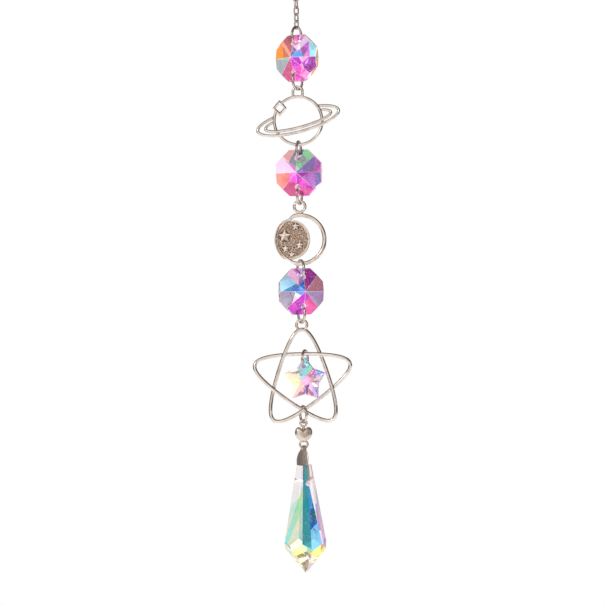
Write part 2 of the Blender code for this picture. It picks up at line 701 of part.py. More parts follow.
class Suncatcher:
    """Hangs each piece on the one above it and keeps the height of the next support."""

    def __init__(self):
        self.silver = make_material("bright silver", (0.72, 0.70, 0.68), 0.22, 1.0)
        self.antique = make_material("antique silver", (0.50, 0.42, 0.35), 0.42, 1.0)
        self.crystal = make_material("coated crystal", (0.86, 0.80, 0.92), 0.03, 0.0, 1.0)
        self.root = bpy.data.objects.new("suncatcher", None)
        bpy.context.scene.collection.objects.link(self.root)
        self.support = 0.0
        self.ring = None
        self.bead = None

    def hang_chain(self):
        ring = wire_ring(HANGER_INNER_RADIUS, HANGER_WIRE, ACROSS_Y, steps=HANGER_STEPS)
        place(add_object("hanging_ring", ring, self.silver), self.root, -HANGER_INNER_RADIUS)
        self.support = -2 * HANGER_INNER_RADIUS
        hole_top = LINK_LENGTH / 2 - LINK_WIRE
        first = None
        for number in range(LINK_COUNT):
            name = f"chain_link_{number + 1:02d}"
            link = add_copy(name, first) if first else chain_link(name, self.silver)
            first = first or link
            height = hung_height(self.support, hole_top)
            place(link, self.root, height, FIRST_LINK_TURN + number * LINK_TURN)
            self.support = height - hole_top

    def hang_ring(self, name, turn):
        """Hangs a jump ring on the support. It stands in the plane of what it carries."""
        if self.ring is None:
            self.ring = add_object(name, wire_ring(ring_inner_radius(), RING_WIRE, ACROSS_X), self.silver)
            ring = self.ring
        else:
            ring = add_copy(name, self.ring)
        height = hung_height(self.support, ring_inner_radius())
        place(ring, self.root, height, turn)
        self.support = height - ring_inner_radius()
        return height

    def hang_bead(self, position):
        """Hangs an octagon bead by two rings: one in its upper bore, one in its lower bore."""
        turn = BEAD_TURNS[position]
        half_thickness = bead_half_thickness(bead_bore_offset() + BEAD_BORE_RADIUS)
        drop = drop_from_ring(ring_inner_radius(), BEAD_BORE_RADIUS, half_thickness)
        centre = self.hang_ring(f"jump_ring_above_{position}_bead", turn) - drop - bead_bore_offset()
        name = f"octagon_bead_{position}"
        bead = add_copy_with_cuts(name, self.bead) if self.bead else octagon_bead(name, self.crystal)
        self.bead = self.bead or bead
        place(bead, self.root, centre, turn)
        lower = centre - bead_bore_offset() - drop
        place(add_copy(f"jump_ring_below_{position}_bead", self.ring), self.root, lower, turn)
        self.support = lower - ring_inner_radius()

    def hang_planet(self):
        height = hung_height(self.support, planet_arch_top() - PLANET_ARCH_WIRE)
        place(planet_charm("planet_charm", self.silver), self.root, height)
        self.support = height - PLANET_OUTER_RADIUS + PLANET_STRAND

    def hang_moon(self):
        height = hung_height(self.support, moon_loop_height() + MOON_LOOP_INNER_RADIUS)
        place(moon_charm("moon_charm", self.antique), self.root, height)
        self.support = height - MOON_OUTER_RADIUS + MOON_WALL

    def hang_star_frame(self):
        """Hangs the woven frame, and the crystal star on the strand across it."""
        height = hung_height(self.support, frame_loop_height() + FRAME_LOOP_INNER_RADIUS)
        place(star_frame("star_frame", self.silver), self.root, height)
        strand_top = height + FRAME_STRAND_DISTANCE + FRAME_STRAND / 2
        ring_height = hung_height(strand_top, small_ring_inner_radius())
        ring = wire_ring(small_ring_inner_radius(), RING_WIRE, ACROSS_X)
        small_ring = add_object("jump_ring_above_crystal_star", ring, self.silver)
        place(small_ring, self.root, ring_height, STAR_TURN, STAR_SHIFT)
        half_thickness = star_half_thickness(star_bore_offset() + STAR_BORE_RADIUS)
        drop = drop_from_ring(small_ring_inner_radius(), STAR_BORE_RADIUS, half_thickness)
        star_height = ring_height - drop - star_bore_offset()
        place(crystal_star("crystal_star", self.crystal), self.root, star_height, STAR_TURN, STAR_SHIFT)
        crossing, steepness = frame_crossing()
        seat = (FRAME_STRAND + RING_WIRE) / 2 / abs(cos(steepness)) - RING_WIRE / 2
        lower_height = hung_height(height + crossing + seat, small_ring_inner_radius())
        place(add_copy("jump_ring_above_heart", small_ring), self.root, lower_height, SMALL_RING_TURN)
        self.support = lower_height - small_ring_inner_radius()

    def hang_heart(self):
        height = hung_height(self.support, heart_top_loop_height() + HEART_TOP_LOOP_INNER_RADIUS)
        place(heart_link("heart_link", self.silver), self.root, height, HEART_TURN)
        seat = sqrt(HEART_LOWER_LOOP_INNER_RADIUS ** 2 - (BAIL_FOLD_WIDTH / 2) ** 2)
        self.support = height - heart_lower_loop_depth() - seat

    def hang_drop(self):
        height = hung_height(self.support, BAIL_FOLD_RADIUS)
        place(pinch_bail("pinch_bail", self.silver), self.root, height, DROP_TURN)
        top = height - BAIL_LEG_LENGTH - prong_offset() + DROP_BORE_DEPTH
        place(crystal_drop("crystal_drop", self.crystal), self.root, top, DROP_TURN)


def add_copy_with_cuts(name, source):
    """A copy that is cut by the same guides as its source."""
    obj = add_copy(name, source)
    for step in source.modifiers:
        cutter = add_copy(f"{name}_{step.object.name.rsplit('_', 2)[-2]}_bore", step.object)
        combine(obj, cutter, step.operation)
    return obj


def main():
    clear_scene()
    suncatcher = Suncatcher()
    suncatcher.hang_chain()
    suncatcher.hang_bead("top")
    suncatcher.hang_planet()
    suncatcher.hang_bead("middle")
    suncatcher.hang_moon()
    suncatcher.hang_bead("bottom")
    suncatcher.hang_star_frame()
    suncatcher.hang_heart()
    suncatcher.hang_drop()


main()
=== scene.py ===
"""Crystal suncatcher, dressed: coated cut crystals, cast charms, wire rings and a chain.

Metres, +Z up, the front faces -Y. Every piece keeps its place from the frame's boxes.
"""

import logging
from collections.abc import Iterable, Sequence
from dataclasses import dataclass, field
from enum import Enum
from math import asin, copysign, cos, pi, radians, sin, sqrt, tau

import bmesh
import bpy
from mathutils import Matrix, Vector, noise


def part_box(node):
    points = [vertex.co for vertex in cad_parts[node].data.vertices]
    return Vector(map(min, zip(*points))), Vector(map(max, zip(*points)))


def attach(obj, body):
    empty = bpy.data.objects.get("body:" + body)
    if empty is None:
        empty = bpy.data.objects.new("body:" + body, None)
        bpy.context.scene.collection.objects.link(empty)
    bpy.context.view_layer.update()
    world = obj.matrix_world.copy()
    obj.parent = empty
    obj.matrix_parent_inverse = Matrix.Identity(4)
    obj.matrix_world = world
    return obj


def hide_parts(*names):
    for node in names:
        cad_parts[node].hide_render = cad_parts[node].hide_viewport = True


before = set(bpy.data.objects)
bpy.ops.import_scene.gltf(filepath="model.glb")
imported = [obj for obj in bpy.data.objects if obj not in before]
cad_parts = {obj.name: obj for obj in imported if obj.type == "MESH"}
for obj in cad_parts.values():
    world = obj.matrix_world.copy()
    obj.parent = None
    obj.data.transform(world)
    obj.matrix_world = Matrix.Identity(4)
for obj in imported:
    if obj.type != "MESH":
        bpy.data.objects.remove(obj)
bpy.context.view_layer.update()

LOG = logging.getLogger("suncatcher")

UP = Vector((0, 0, 1))
ACROSS = Vector((1, 0, 0))
AWAY = Vector((0, 1, 0))

Colour = tuple[float, float, float]
Span = tuple[float, float]

# Mesh attributes that the finishes read.
# Marks the moon's stained disc with 1, and the painted shadow round its raised stars with a higher value.
STAIN_AND_SHADOW = "stain_and_shadow"
COAT_NEAR = "coat_near"
COAT_FAR = "coat_far"

# A hue as the eye sees it is the tint of this many coated surfaces, one behind the other.
SURFACES_CROSSED = 2
DISPLAY_GAMMA = 2.2

# Points nearer to each other than this are one point.
WELD = 1e-7

# Corners of a five-point star, its tips and its notches.
STAR_CORNERS = 10

# How far the beads and the star are turned about the upright axis, and the rings they hang in with them.
BEAD_TURNS = {"top": radians(-31), "middle": radians(-15), "bottom": radians(21)}
STAR_TURN = radians(-20)


class Slot(Enum):
    """The record's material slots."""

    SILVER = "silver"
    ANTIQUE = "antique_silver"
    CRYSTAL = "aurora_crystal"


class Coat(Enum):
    """Hues that the rainbow coat of a cut crystal turns to, from facet to facet, as the eye sees them."""

    CLEAR = (1.0, 1.0, 1.0)
    PEARL = (0.97, 0.90, 0.98)
    CREAM = (0.98, 0.97, 0.82)
    PEACH = (0.97, 0.76, 0.70)
    APRICOT = (0.93, 0.78, 0.60)
    BLUSH = (0.98, 0.78, 0.92)
    PINK = (0.98, 0.52, 0.80)
    HOT_PINK = (0.92, 0.34, 0.80)
    MAGENTA = (0.70, 0.20, 0.70)
    PLUM = (0.58, 0.22, 0.58)
    ORCHID = (0.76, 0.42, 0.88)
    HEATHER = (0.66, 0.42, 0.72)
    LILAC = (0.76, 0.68, 0.90)
    GREY = (0.62, 0.62, 0.67)
    SLATE = (0.46, 0.42, 0.64)
    BLUE = (0.16, 0.44, 0.78)
    AZURE = (0.32, 0.62, 0.90)
    SKY = (0.55, 0.84, 1.0)
    TEAL = (0.24, 0.62, 0.68)
    AQUA = (0.62, 0.98, 0.94)
    MIST = (0.76, 0.90, 0.88)
    MINT = (0.58, 0.86, 0.66)
    SAGE = (0.60, 0.70, 0.64)
    LIME = (0.82, 0.96, 0.66)
    BUTTER = (0.96, 0.95, 0.70)
    LEMON = (1.0, 0.95, 0.50)
    AMBER = (0.96, 0.76, 0.42)
    ORANGE = (0.94, 0.56, 0.20)
    SALMON = (0.98, 0.62, 0.52)
    CORAL = (0.98, 0.46, 0.46)
    TERRACOTTA = (0.78, 0.46, 0.34)
    ROSE = (0.74, 0.43, 0.44)
    DUSK = (0.92, 0.72, 0.70)
    MAUVE = (0.64, 0.44, 0.48)
    CRIMSON = (0.72, 0.29, 0.46)
    RASPBERRY = (0.84, 0.34, 0.58)

    def tint(self) -> tuple[float, float, float, float]:
        """Linear tint that gives this hue to light that crosses the coat and an equal one behind it."""
        red, green, blue = (channel ** (DISPLAY_GAMMA * SURFACES_CROSSED) for channel in self.value)
        return red, green, blue, 1.0


class Link:
    """A number, colour or vector on its way through a node tree, with Python's operators."""

    def __init__(self, tree: "NodeSheet", socket: bpy.types.NodeSocket | None) -> None:
        """Keeps the tree and the output socket that the value comes from, if its node has one."""
        self.tree = tree
        self.socket = socket

    def math(self, operation: str, *values: "Link | float") -> "Link":
        """Adds one Math node.

        Args:
            operation: The Math node's operation.
            *values: Its operands, in order.

        Returns:
            The node's result.
        """
        inputs = dict(enumerate(values))
        return self.tree.add("ShaderNodeMath", {"operation": operation}, inputs)

    def __add__(self, other: "Link | float") -> "Link":
        """Sum."""
        return self.math("ADD", self, other)

    def __radd__(self, other: float) -> "Link":
        """Sum with a number on the left."""
        return self.math("ADD", other, self)

    def __sub__(self, other: "Link | float") -> "Link":
        """Difference."""
        return self.math("SUBTRACT", self, other)

    def __rsub__(self, other: float) -> "Link":
        """Difference from a number on the left."""
        return self.math("SUBTRACT", other, self)

    def __mul__(self, other: "Link | float") -> "Link":
        """Product."""
        return self.math("MULTIPLY", self, other)

    def __rmul__(self, other: float) -> "Link":
        """Product with a number on the left."""
        return self.math("MULTIPLY", other, self)

    def __truediv__(self, other: "Link | float") -> "Link":
        """Quotient."""
        return self.math("DIVIDE", self, other)

    def sine(self) -> "Link":
        """Sine of an angle in radians."""
        return self.math("SINE", self)

    def cosine(self) -> "Link":
        """Cosine of an angle in radians."""
        return self.math("COSINE", self)

    def sign(self) -> "Link":
        """One, zero or minus one."""
        return self.math("SIGN", self)

    def ease(self, low: float, high: float) -> "Link":
        """Smooth step from 0 at low to 1 at high.

        Args:
            low: The value that gives 0.
            high: The value that gives 1.

        Returns:
            The eased value.
        """
        return self.tree.add("ShaderNodeMapRange", {"interpolation_type": "SMOOTHSTEP"}, {
            "Value": self, "From Min": low, "From Max": high,
        })


class NodeSheet:
    """A node tree that is filled by one method."""

    def __init__(self, tree: bpy.types.NodeTree) -> None:
        """Empties the tree."""
        self.tree = tree
        self.tree.nodes.clear()

    def add(self, kind: str, settings: dict | None = None, inputs: dict | None = None,
            output: str | int = 0) -> Link:
        """Adds a node.

        Args:
            kind: The node's type.
            settings: Its properties. The key stops holds a ramp's (position, colour) pairs.
            inputs: Its sockets by name or number, each a plain value or a Link.
            output: The output that the returned Link stands for.

        Returns:
            The chosen output.
        """
        node = self.tree.nodes.new(kind)
        for key, value in (settings or {}).items():
            if key == "stops":
                self.set_stops(node.color_ramp, value)
            else:
                setattr(node, key, value)
        for key, value in (inputs or {}).items():
            socket = node.inputs[key]
            if isinstance(value, Link):
                self.tree.links.new(value.socket, socket)
            else:
                socket.default_value = value
        return Link(self, node.outputs[output] if len(node.outputs) else None)

    @staticmethod
    def set_stops(ramp: bpy.types.ColorRamp, stops: Sequence[tuple[float, tuple]]) -> None:
        """Sets a ramp's stops.

        Args:
            ramp: The ramp.
            stops: Pairs of position and linear colour, from left to right.
        """
        while len(ramp.elements) < len(stops):
            ramp.elements.new(1.0)
        for element, (position, colour) in zip(ramp.elements, stops):
            element.position = position
            element.color = (*colour, 1)

    def mix(self, factor: Link, first: "Link | tuple", second: "Link | tuple") -> Link:
        """Mixes two colours.

        Args:
            factor: 0 for the first colour, 1 for the second.
            first: A colour or a Link.
            second: A colour or a Link.

        Returns:
            The mixed colour.
        """
        mixer = {"data_type": "RGBA"}
        values = [value if isinstance(value, Link) else (*value, 1) for value in (first, second)]
        return self.add("ShaderNodeMix", mixer, {0: factor, 6: values[0], 7: values[1]}, output=2)


class Finish:
    """A surface, made into a Blender material."""

    name: str

    def sheet(self) -> tuple[bpy.types.Material, NodeSheet]:
        """Makes the material that the finish fills.

        Returns:
            The material and its emptied node tree.
        """
        material = bpy.data.materials.new(self.name)
        material.use_nodes = True
        return material, NodeSheet(material.node_tree)

    @staticmethod
    def cloud(sheet: NodeSheet, place: Link, scale: float, detail: float, roughness: float = 0.5) -> Link:
        """Adds a soft random pattern.

        Args:
            sheet: The material's sheet.
            place: Where on the piece.
            scale: Its clouds to the metre.
            detail: Its finer layers.
            roughness: How strong the finer layers are.

        Returns:
            The pattern, about 0 to 1.
        """
        return sheet.add("ShaderNodeTexNoise", {}, {
            "Vector": place, "Scale": scale, "Detail": detail, "Roughness": roughness,
        })

    @staticmethod
    def close(sheet: NodeSheet, surface: Link) -> None:
        """Joins the surface to the material's output."""
        sheet.add("ShaderNodeOutputMaterial", {}, {"Surface": surface})


@dataclass(frozen=True)
class MetalFinish(Finish):
    """Plated or cast metal with soft wear, small pits and painted shade in its inner corners; where it is
    antiqued, a dark stain in its recess and a painted shadow round its raised stars.
    """

    name: str
    bright: Colour
    dull: Colour
    # Colour of the painted shade in inner corners, and of the painted shadow round the moon's raised stars.
    recess: Colour
    roughness: Span = (0.08, 0.20)
    mottle_scale: float = 420.0
    pit_scale: float = 2600.0
    pit_depth: float = 0.12
    grain: tuple[float, float, float] = (1.0, 1.0, 1.0)
    stained: Colour | None = None
    wear: Span = (0.34, 0.66)
    # Pointiness over which the painted corner shade fades into the metal's own colour.
    corner_shade_span: Span = (0.43, 0.49)
    stain_patches: Span = (0.42, 0.74)
    stain_edge: Span = (0.0, 1.0)
    # Mark values over which the stain gives way to the painted shadow round the raised stars.
    star_shadow_edge: Span = (1.2, 2.8)
    stain_roughness: float = 0.16
    pit_distance: float = 0.00005

    def material(self) -> bpy.types.Material:
        """Builds the metal.

        Returns:
            The material.
        """
        material, sheet = self.sheet()
        place = sheet.add("ShaderNodeTexCoord", output="Object")
        grained = sheet.add("ShaderNodeVectorMath", {"operation": "MULTIPLY"}, {0: place, 1: self.grain})
        mottle = self.cloud(sheet, grained, self.mottle_scale, detail=4.0, roughness=0.6)
        pits = self.cloud(sheet, grained, self.pit_scale, detail=2.0, roughness=0.55)
        worn = mottle.ease(*self.wear)
        colour = sheet.mix(worn, self.dull, self.bright)
        # Painted shade: inner corners and crossings, where pointiness is low, darken to the recess colour.
        corner_shade_mask = sheet.add("ShaderNodeNewGeometry", output="Pointiness").ease(*self.corner_shade_span)
        colour = sheet.mix(corner_shade_mask, self.recess, colour)
        rough = self.roughness[1] - (self.roughness[1] - self.roughness[0]) * worn
        if self.stained:
            stain_and_shadow = sheet.add("ShaderNodeAttribute", {"attribute_name": STAIN_AND_SHADOW}, output="Fac")
            stain = sheet.mix(pits.ease(*self.stain_patches), self.stained, self.bright)
            # Painted shadow: round the moon's raised stars the recess colour covers the stain.
            stain = sheet.mix(stain_and_shadow.ease(*self.star_shadow_edge), stain, self.recess)
            colour = sheet.mix(stain_and_shadow.ease(*self.stain_edge), colour, stain)
            rough = rough + stain_and_shadow.ease(*self.stain_edge) * self.stain_roughness
        bump = sheet.add("ShaderNodeBump", {}, {
            "Strength": self.pit_depth, "Distance": self.pit_distance, "Height": pits + mottle,
        })
        self.close(sheet, sheet.add("ShaderNodeBsdfPrincipled", {}, {
            "Base Color": colour, "Metallic": 1.0, "Roughness": rough, "Normal": bump,
        }))
        return material


@dataclass(frozen=True)
class CrystalFinish(Finish):
    """Clear cut crystal with a rainbow coat, whose hue turns within each facet."""

    name: str
    centre: tuple[float, float, float]
    reach: float
    turn_over: Span = (0.45, 0.95)
    patch_spread: float = 0.22
    patch_scale: float = 420.0
    along_z: bool = False
    glass_ior: float = 1.52
    film_thickness: float = 340.0
    film_ior: float = 1.62
    haze_scale: float = 1500.0
    haze_patches: Span = (0.55, 0.85)
    haze_share: float = 0.16
    ripple: float = 0.02
    ripple_distance: float = 0.00005

    def material(self) -> bpy.types.Material:
        """Builds the crystal.

        Returns:
            The material.
        """
        material, sheet = self.sheet()
        place = sheet.add("ShaderNodeTexCoord", output="Object")
        offset = sheet.add("ShaderNodeVectorMath", {"operation": "SUBTRACT"}, {0: place, 1: self.centre})
        if self.along_z:
            travel = 0.0 - sheet.add("ShaderNodeSeparateXYZ", {}, {0: offset}, output="Z")
        else:
            travel = sheet.add("ShaderNodeVectorMath", {"operation": "LENGTH"}, {0: offset}, output="Value")
        patches = sheet.add("ShaderNodeTexVoronoi", {"feature": "F1"}, {
            "Vector": place, "Scale": self.patch_scale,
        }, output="Color")
        patch = sheet.add("ShaderNodeSeparateColor", {}, {0: patches})
        haze = self.cloud(sheet, place, self.haze_scale, detail=3.0)
        mask = (travel / self.reach + (patch - 0.5) * self.patch_spread).ease(*self.turn_over)
        near = sheet.add("ShaderNodeAttribute", {"attribute_name": COAT_NEAR})
        far = sheet.add("ShaderNodeAttribute", {"attribute_name": COAT_FAR})
        coat = sheet.mix(mask, near, far)
        hazed = haze.ease(*self.haze_patches) * self.haze_share
        coat = sheet.mix(hazed, coat, Coat.PEARL.tint()[:3])
        ripple = sheet.add("ShaderNodeBump", {}, {
            "Strength": self.ripple, "Distance": self.ripple_distance, "Height": haze,
        })
        self.close(sheet, sheet.add("ShaderNodeBsdfPrincipled", {}, {
            "Base Color": coat, "Roughness": 0.0, "IOR": self.glass_ior, "Transmission Weight": 1.0,
            "Thin Film Thickness": self.film_thickness, "Thin Film IOR": self.film_ior, "Normal": ripple,
        }))
        return material


@dataclass(frozen=True)
class FloorFinish(Finish):
    """Pale matt floor of the studio."""

    name: str = "pale floor"
    tones: tuple[Colour, Colour] = ((0.80, 0.79, 0.78), (0.86, 0.85, 0.84))
    tone_scale: float = 14.0
    roughness: float = 0.9

    def material(self) -> bpy.types.Material:
        """Builds the floor's matt paint.

        Returns:
            The material.
        """
        material, sheet = self.sheet()
        place = sheet.add("ShaderNodeTexCoord", output="Object")
        colour = sheet.mix(self.cloud(sheet, place, self.tone_scale, detail=3.0), *self.tones)
        self.close(sheet, sheet.add("ShaderNodeBsdfPrincipled", {}, {
            "Base Color": colour, "Roughness": self.roughness,
        }))
        return material


def keep(name: str, mesh: bpy.types.Mesh) -> bpy.types.Object:
    """Puts a mesh into the scene.

    Args:
        name: The object's name.
        mesh: A finished mesh, in place.

    Returns:
        The object, at the origin.
    """
    piece = bpy.data.objects.new(name, mesh)
    bpy.context.scene.collection.objects.link(piece)
    return piece


def bake(piece: bpy.types.Object) -> bpy.types.Object:
    """Turns a piece's modifiers into plain mesh.

    Args:
        piece: An object with modifiers.

    Returns:
        A new object of the same name, with none.
    """
    graph = bpy.context.evaluated_depsgraph_get()
    mesh = bpy.data.meshes.new_from_object(piece.evaluated_get(graph), depsgraph=graph)
    name = piece.name
    bpy.data.objects.remove(piece, do_unlink=True)
    mesh.name = name
    return keep(name, mesh)


def face_outwards(builder: bmesh.types.BMesh) -> None:
    """Turns every face of a closed form outwards.

    Args:
        builder: The bmesh that holds the form.
    """
    bmesh.ops.recalc_face_normals(builder, faces=builder.faces)
    if builder.calc_volume(signed=True) < 0:
        bmesh.ops.reverse_faces(builder, faces=builder.faces)


def from_builder(name: str, builder: bmesh.types.BMesh, smooth: bool = True) -> bpy.types.Object:
    """Turns a bmesh into an object with its faces pointing out.

    Args:
        name: The object's name.
        builder: The bmesh, which is used up.
        smooth: Whether faces are shaded smooth.

    Returns:
        The object.
    """
    face_outwards(builder)
    mesh = bpy.data.meshes.new(name)
    builder.to_mesh(mesh)
    builder.free()
    if smooth:
        mesh.shade_smooth()
    return keep(name, mesh)


def join_rings(builder: bmesh.types.BMesh, near: Sequence[bmesh.types.BMVert],
               far: Sequence[bmesh.types.BMVert]) -> None:
    """Joins two rings of corners by a band of faces.

    Args:
        builder: The bmesh that holds both rings.
        near: Corners of one ring.
        far: As many corners of the other, in the same order.
    """
    for corner in range(len(near)):
        following = (corner + 1) % len(near)
        builder.faces.new((near[corner], near[following], far[following], far[corner]))


def sweep(builder: bmesh.types.BMesh, centres: Sequence[Vector], sections: Sequence[Sequence[tuple]],
          normal: Vector, closed: bool) -> None:
    """Adds a bar along a path that lies near one plane.

    Args:
        builder: The bmesh that takes the bar.
        centres: Points of the path.
        sections: For each point, the corners of the section as (across the path, along normal).
        normal: The plane's normal.
        closed: Whether the path closes on itself.
    """
    count = len(centres)
    rings = []
    for index, centre in enumerate(centres):
        before = centres[(index - 1) % count] if closed or index else centre
        after = centres[(index + 1) % count] if closed or index < count - 1 else centre
        along = (after - before).normalized()
        across = along.cross(normal).normalized()
        rise = across.cross(along)
        rings.append([builder.verts.new(centre + across * side + rise * up) for side, up in sections[index]])
    for index in range(count if closed else count - 1):
        join_rings(builder, rings[index], rings[(index + 1) % count])
    if not closed:
        builder.faces.new(rings[0])
        builder.faces.new(rings[-1])


def disc_section(radius: float, sides: int) -> list[tuple[float, float]]:
    """Corners of a round wire's section.

    Args:
        radius: The wire's radius.
        sides: How many corners.

    Returns:
        The corners.
    """
    return [(radius * cos(tau * side / sides), radius * sin(tau * side / sides)) for side in range(sides)]


def arc(centre: Vector, across: Vector, up: Vector, radius: float, start: float, end: float,
        steps: int) -> list[Vector]:
    """Points of a circle's arc.

    Args:
        centre: The circle's centre.
        across: Direction of angle 0.
        up: Direction of a quarter turn.
        radius: The circle's radius.
        start: First angle.
        end: Last angle.
        steps: How many steps lie between them.

    Returns:
        The points, both ends among them.
    """
    angles = [start + (end - start) * step / steps for step in range(steps + 1)]
    return [centre + across * radius * cos(angle) + up * radius * sin(angle) for angle in angles]


def add_tube(builder: bmesh.types.BMesh, centres: Sequence[Vector], radius: float, closed: bool = True,
             sides: int = 32, normal: Vector = AWAY) -> None:
    """Adds a round wire along a path.

    Args:
        builder: The bmesh that takes the wire.
        centres: Points of the path.
        radius: The wire's radius.
        closed: Whether the path closes on itself.
        sides: How many sides the wire has.
        normal: Normal of the plane that the path lies near.
    """
    sweep(builder, centres, [disc_section(radius, sides)] * len(centres), normal, closed)


def add_loop(builder: bmesh.types.BMesh, centre: Vector, radius: float, wire_radius: float,
             steps: int) -> None:
    """Adds an upright round loop of wire that faces the front.

    Args:
        builder: The bmesh that takes the loop.
        centre: The loop's centre.
        radius: From its centre to the wire's middle.
        wire_radius: The wire's radius.
        steps: How many steps go round it.
    """
    add_tube(builder, arc(centre, ACROSS, UP, radius, 0, tau, steps)[:-1], wire_radius)


def add_plate(builder: bmesh.types.BMesh, outline: Sequence[tuple[float, float]], back: float,
              front: float) -> None:
    """Adds a plate that stands in the XZ plane.

    Args:
        builder: The bmesh that takes the plate.
        outline: Corners as (x, z).
        back: How far forward its back face is.
        front: How far forward its front face is.
    """
    rows = [[builder.verts.new((x, -depth, z)) for x, z in outline] for depth in (back, front)]
    join_rings(builder, *rows)
    builder.faces.new(rows[0])
    builder.faces.new(rows[1])


def melt(piece: bpy.types.Object, voxel: float, rounds: int) -> bpy.types.Object:
    """Melts overlapping forms into one casting with soft inner corners.

    Args:
        piece: Closed forms that overlap where the casting joins them.
        voxel: Size of the grid that finds the new surface.
        rounds: Rounds of smoothing.

    Returns:
        The casting.
    """
    forms = keep(f"{piece.name}_forms", piece.data.copy())
    melted = piece.modifiers.new("melt", "REMESH")
    melted.mode = "VOXEL"
    melted.voxel_size = voxel
    melted.use_smooth_shade = True
    snapped = piece.modifiers.new("snap", "SHRINKWRAP")
    snapped.wrap_method = "NEAREST_SURFACEPOINT"
    snapped.target = forms
    settled = piece.modifiers.new("settle", "SMOOTH")
    settled.factor = 0.5
    settled.iterations = rounds
    casting = bake(piece)
    bpy.data.objects.remove(forms, do_unlink=True)
    return casting


def seat(piece: bpy.types.Object, matrix: Matrix) -> None:
    """Moves a piece's mesh to its place and leaves its object at the origin."""
    piece.data.transform(matrix)
    piece.data.update()


def install(piece: bpy.types.Object, slot: Slot, material: bpy.types.Material, *nodes: str) -> None:
    """Dresses a finished piece and hangs it on the body in place of its solids.

    Args:
        piece: The finished piece.
        slot: The record's slot that its finish stands for; not used.
        material: Its material.
        *nodes: The solids that it stands for.
    """
    piece.data.materials.clear()
    piece.data.materials.append(material)
    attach(piece, "root")
    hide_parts(*nodes)
    LOG.info("%s: %d faces", piece.name, len(piece.data.polygons))


def box_centre(node: str) -> Vector:
    """Centre of a solid's box."""
    low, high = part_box(node)
    return (low + high) / 2


def turned(turn: float, place: Vector) -> Matrix:
    """A turn about the upright axis, then a move."""
    return Matrix.Translation(place) @ Matrix.Rotation(turn, 4, "Z")


class WireTree:
    """Geometry Nodes trees that draw bent wire."""

    @staticmethod
    def start(name: str, lengths: Sequence[str],
              counts: Sequence[str] = ()) -> tuple[bpy.types.NodeTree, NodeSheet, dict[str, Link]]:
        """Makes a tree with named inputs.

        Args:
            name: The tree's name.
            lengths: Its inputs that are lengths or angles.
            counts: Its inputs that are whole numbers.

        Returns:
            The tree, its sheet and a Link for each input.
        """
        tree = bpy.data.node_groups.new(name, "GeometryNodeTree")
        tree.interface.new_socket("Geometry", in_out="OUTPUT", socket_type="NodeSocketGeometry")
        kinds = {
            **dict.fromkeys(counts, "NodeSocketInt"), **dict.fromkeys(lengths, "NodeSocketFloat"),
            "Finish": "NodeSocketMaterial",
        }
        for title, kind in kinds.items():
            tree.interface.new_socket(title, in_out="INPUT", socket_type=kind)
        sheet = NodeSheet(tree)
        return tree, sheet, {title: sheet.add("NodeGroupInput", output=title) for title in kinds}

    @staticmethod
    def draw(sheet: NodeSheet, path: Link, radius: Link, sides: int) -> Link:
        """Gives a path a round section.

        Args:
            sheet: The tree's sheet.
            path: The curve.
            radius: The wire's radius.
            sides: How many sides the wire has.

        Returns:
            The wire's mesh.
        """
        profile = sheet.add("GeometryNodeCurvePrimitiveCircle", {}, {
            "Resolution": sides, "Radius": radius,
        })
        wire = sheet.add("GeometryNodeCurveToMesh", {}, {
            "Curve": path, "Profile Curve": profile, "Fill Caps": True,
        })
        return sheet.add("GeometryNodeSetShadeSmooth", {}, {"Geometry": wire})

    @staticmethod
    def close(sheet: NodeSheet, shape: Link, finish: Link) -> None:
        """Ends the tree with real geometry and its material.

        Args:
            sheet: The tree's sheet.
            shape: What the tree has drawn.
            finish: Its material.
        """
        real = sheet.add("GeometryNodeRealizeInstances", {}, {"Geometry": shape})
        dressed = sheet.add("GeometryNodeSetMaterial", {}, {"Geometry": real, "Material": finish})
        sheet.add("NodeGroupOutput", {}, {"Geometry": dressed})

    @staticmethod
    def grow(name: str, tree: bpy.types.NodeTree, sizes: dict[str, float],
             material: bpy.types.Material) -> bpy.types.Object:
        """Runs a tree and keeps its result as plain mesh.

        Args:
            name: The new piece's name.
            tree: The tree.
            sizes: Its inputs by name.
            material: Its finish.

        Returns:
            The piece.
        """
        piece = keep(name, bpy.data.meshes.new(name))
        step = piece.modifiers.new("grow", "NODES")
        step.node_group = tree
        values = {**sizes, "Finish": material}
        for item in tree.interface.items_tree:
            if item.in_out == "INPUT":
                step[item.identifier] = values[item.name]
        return bake(piece)


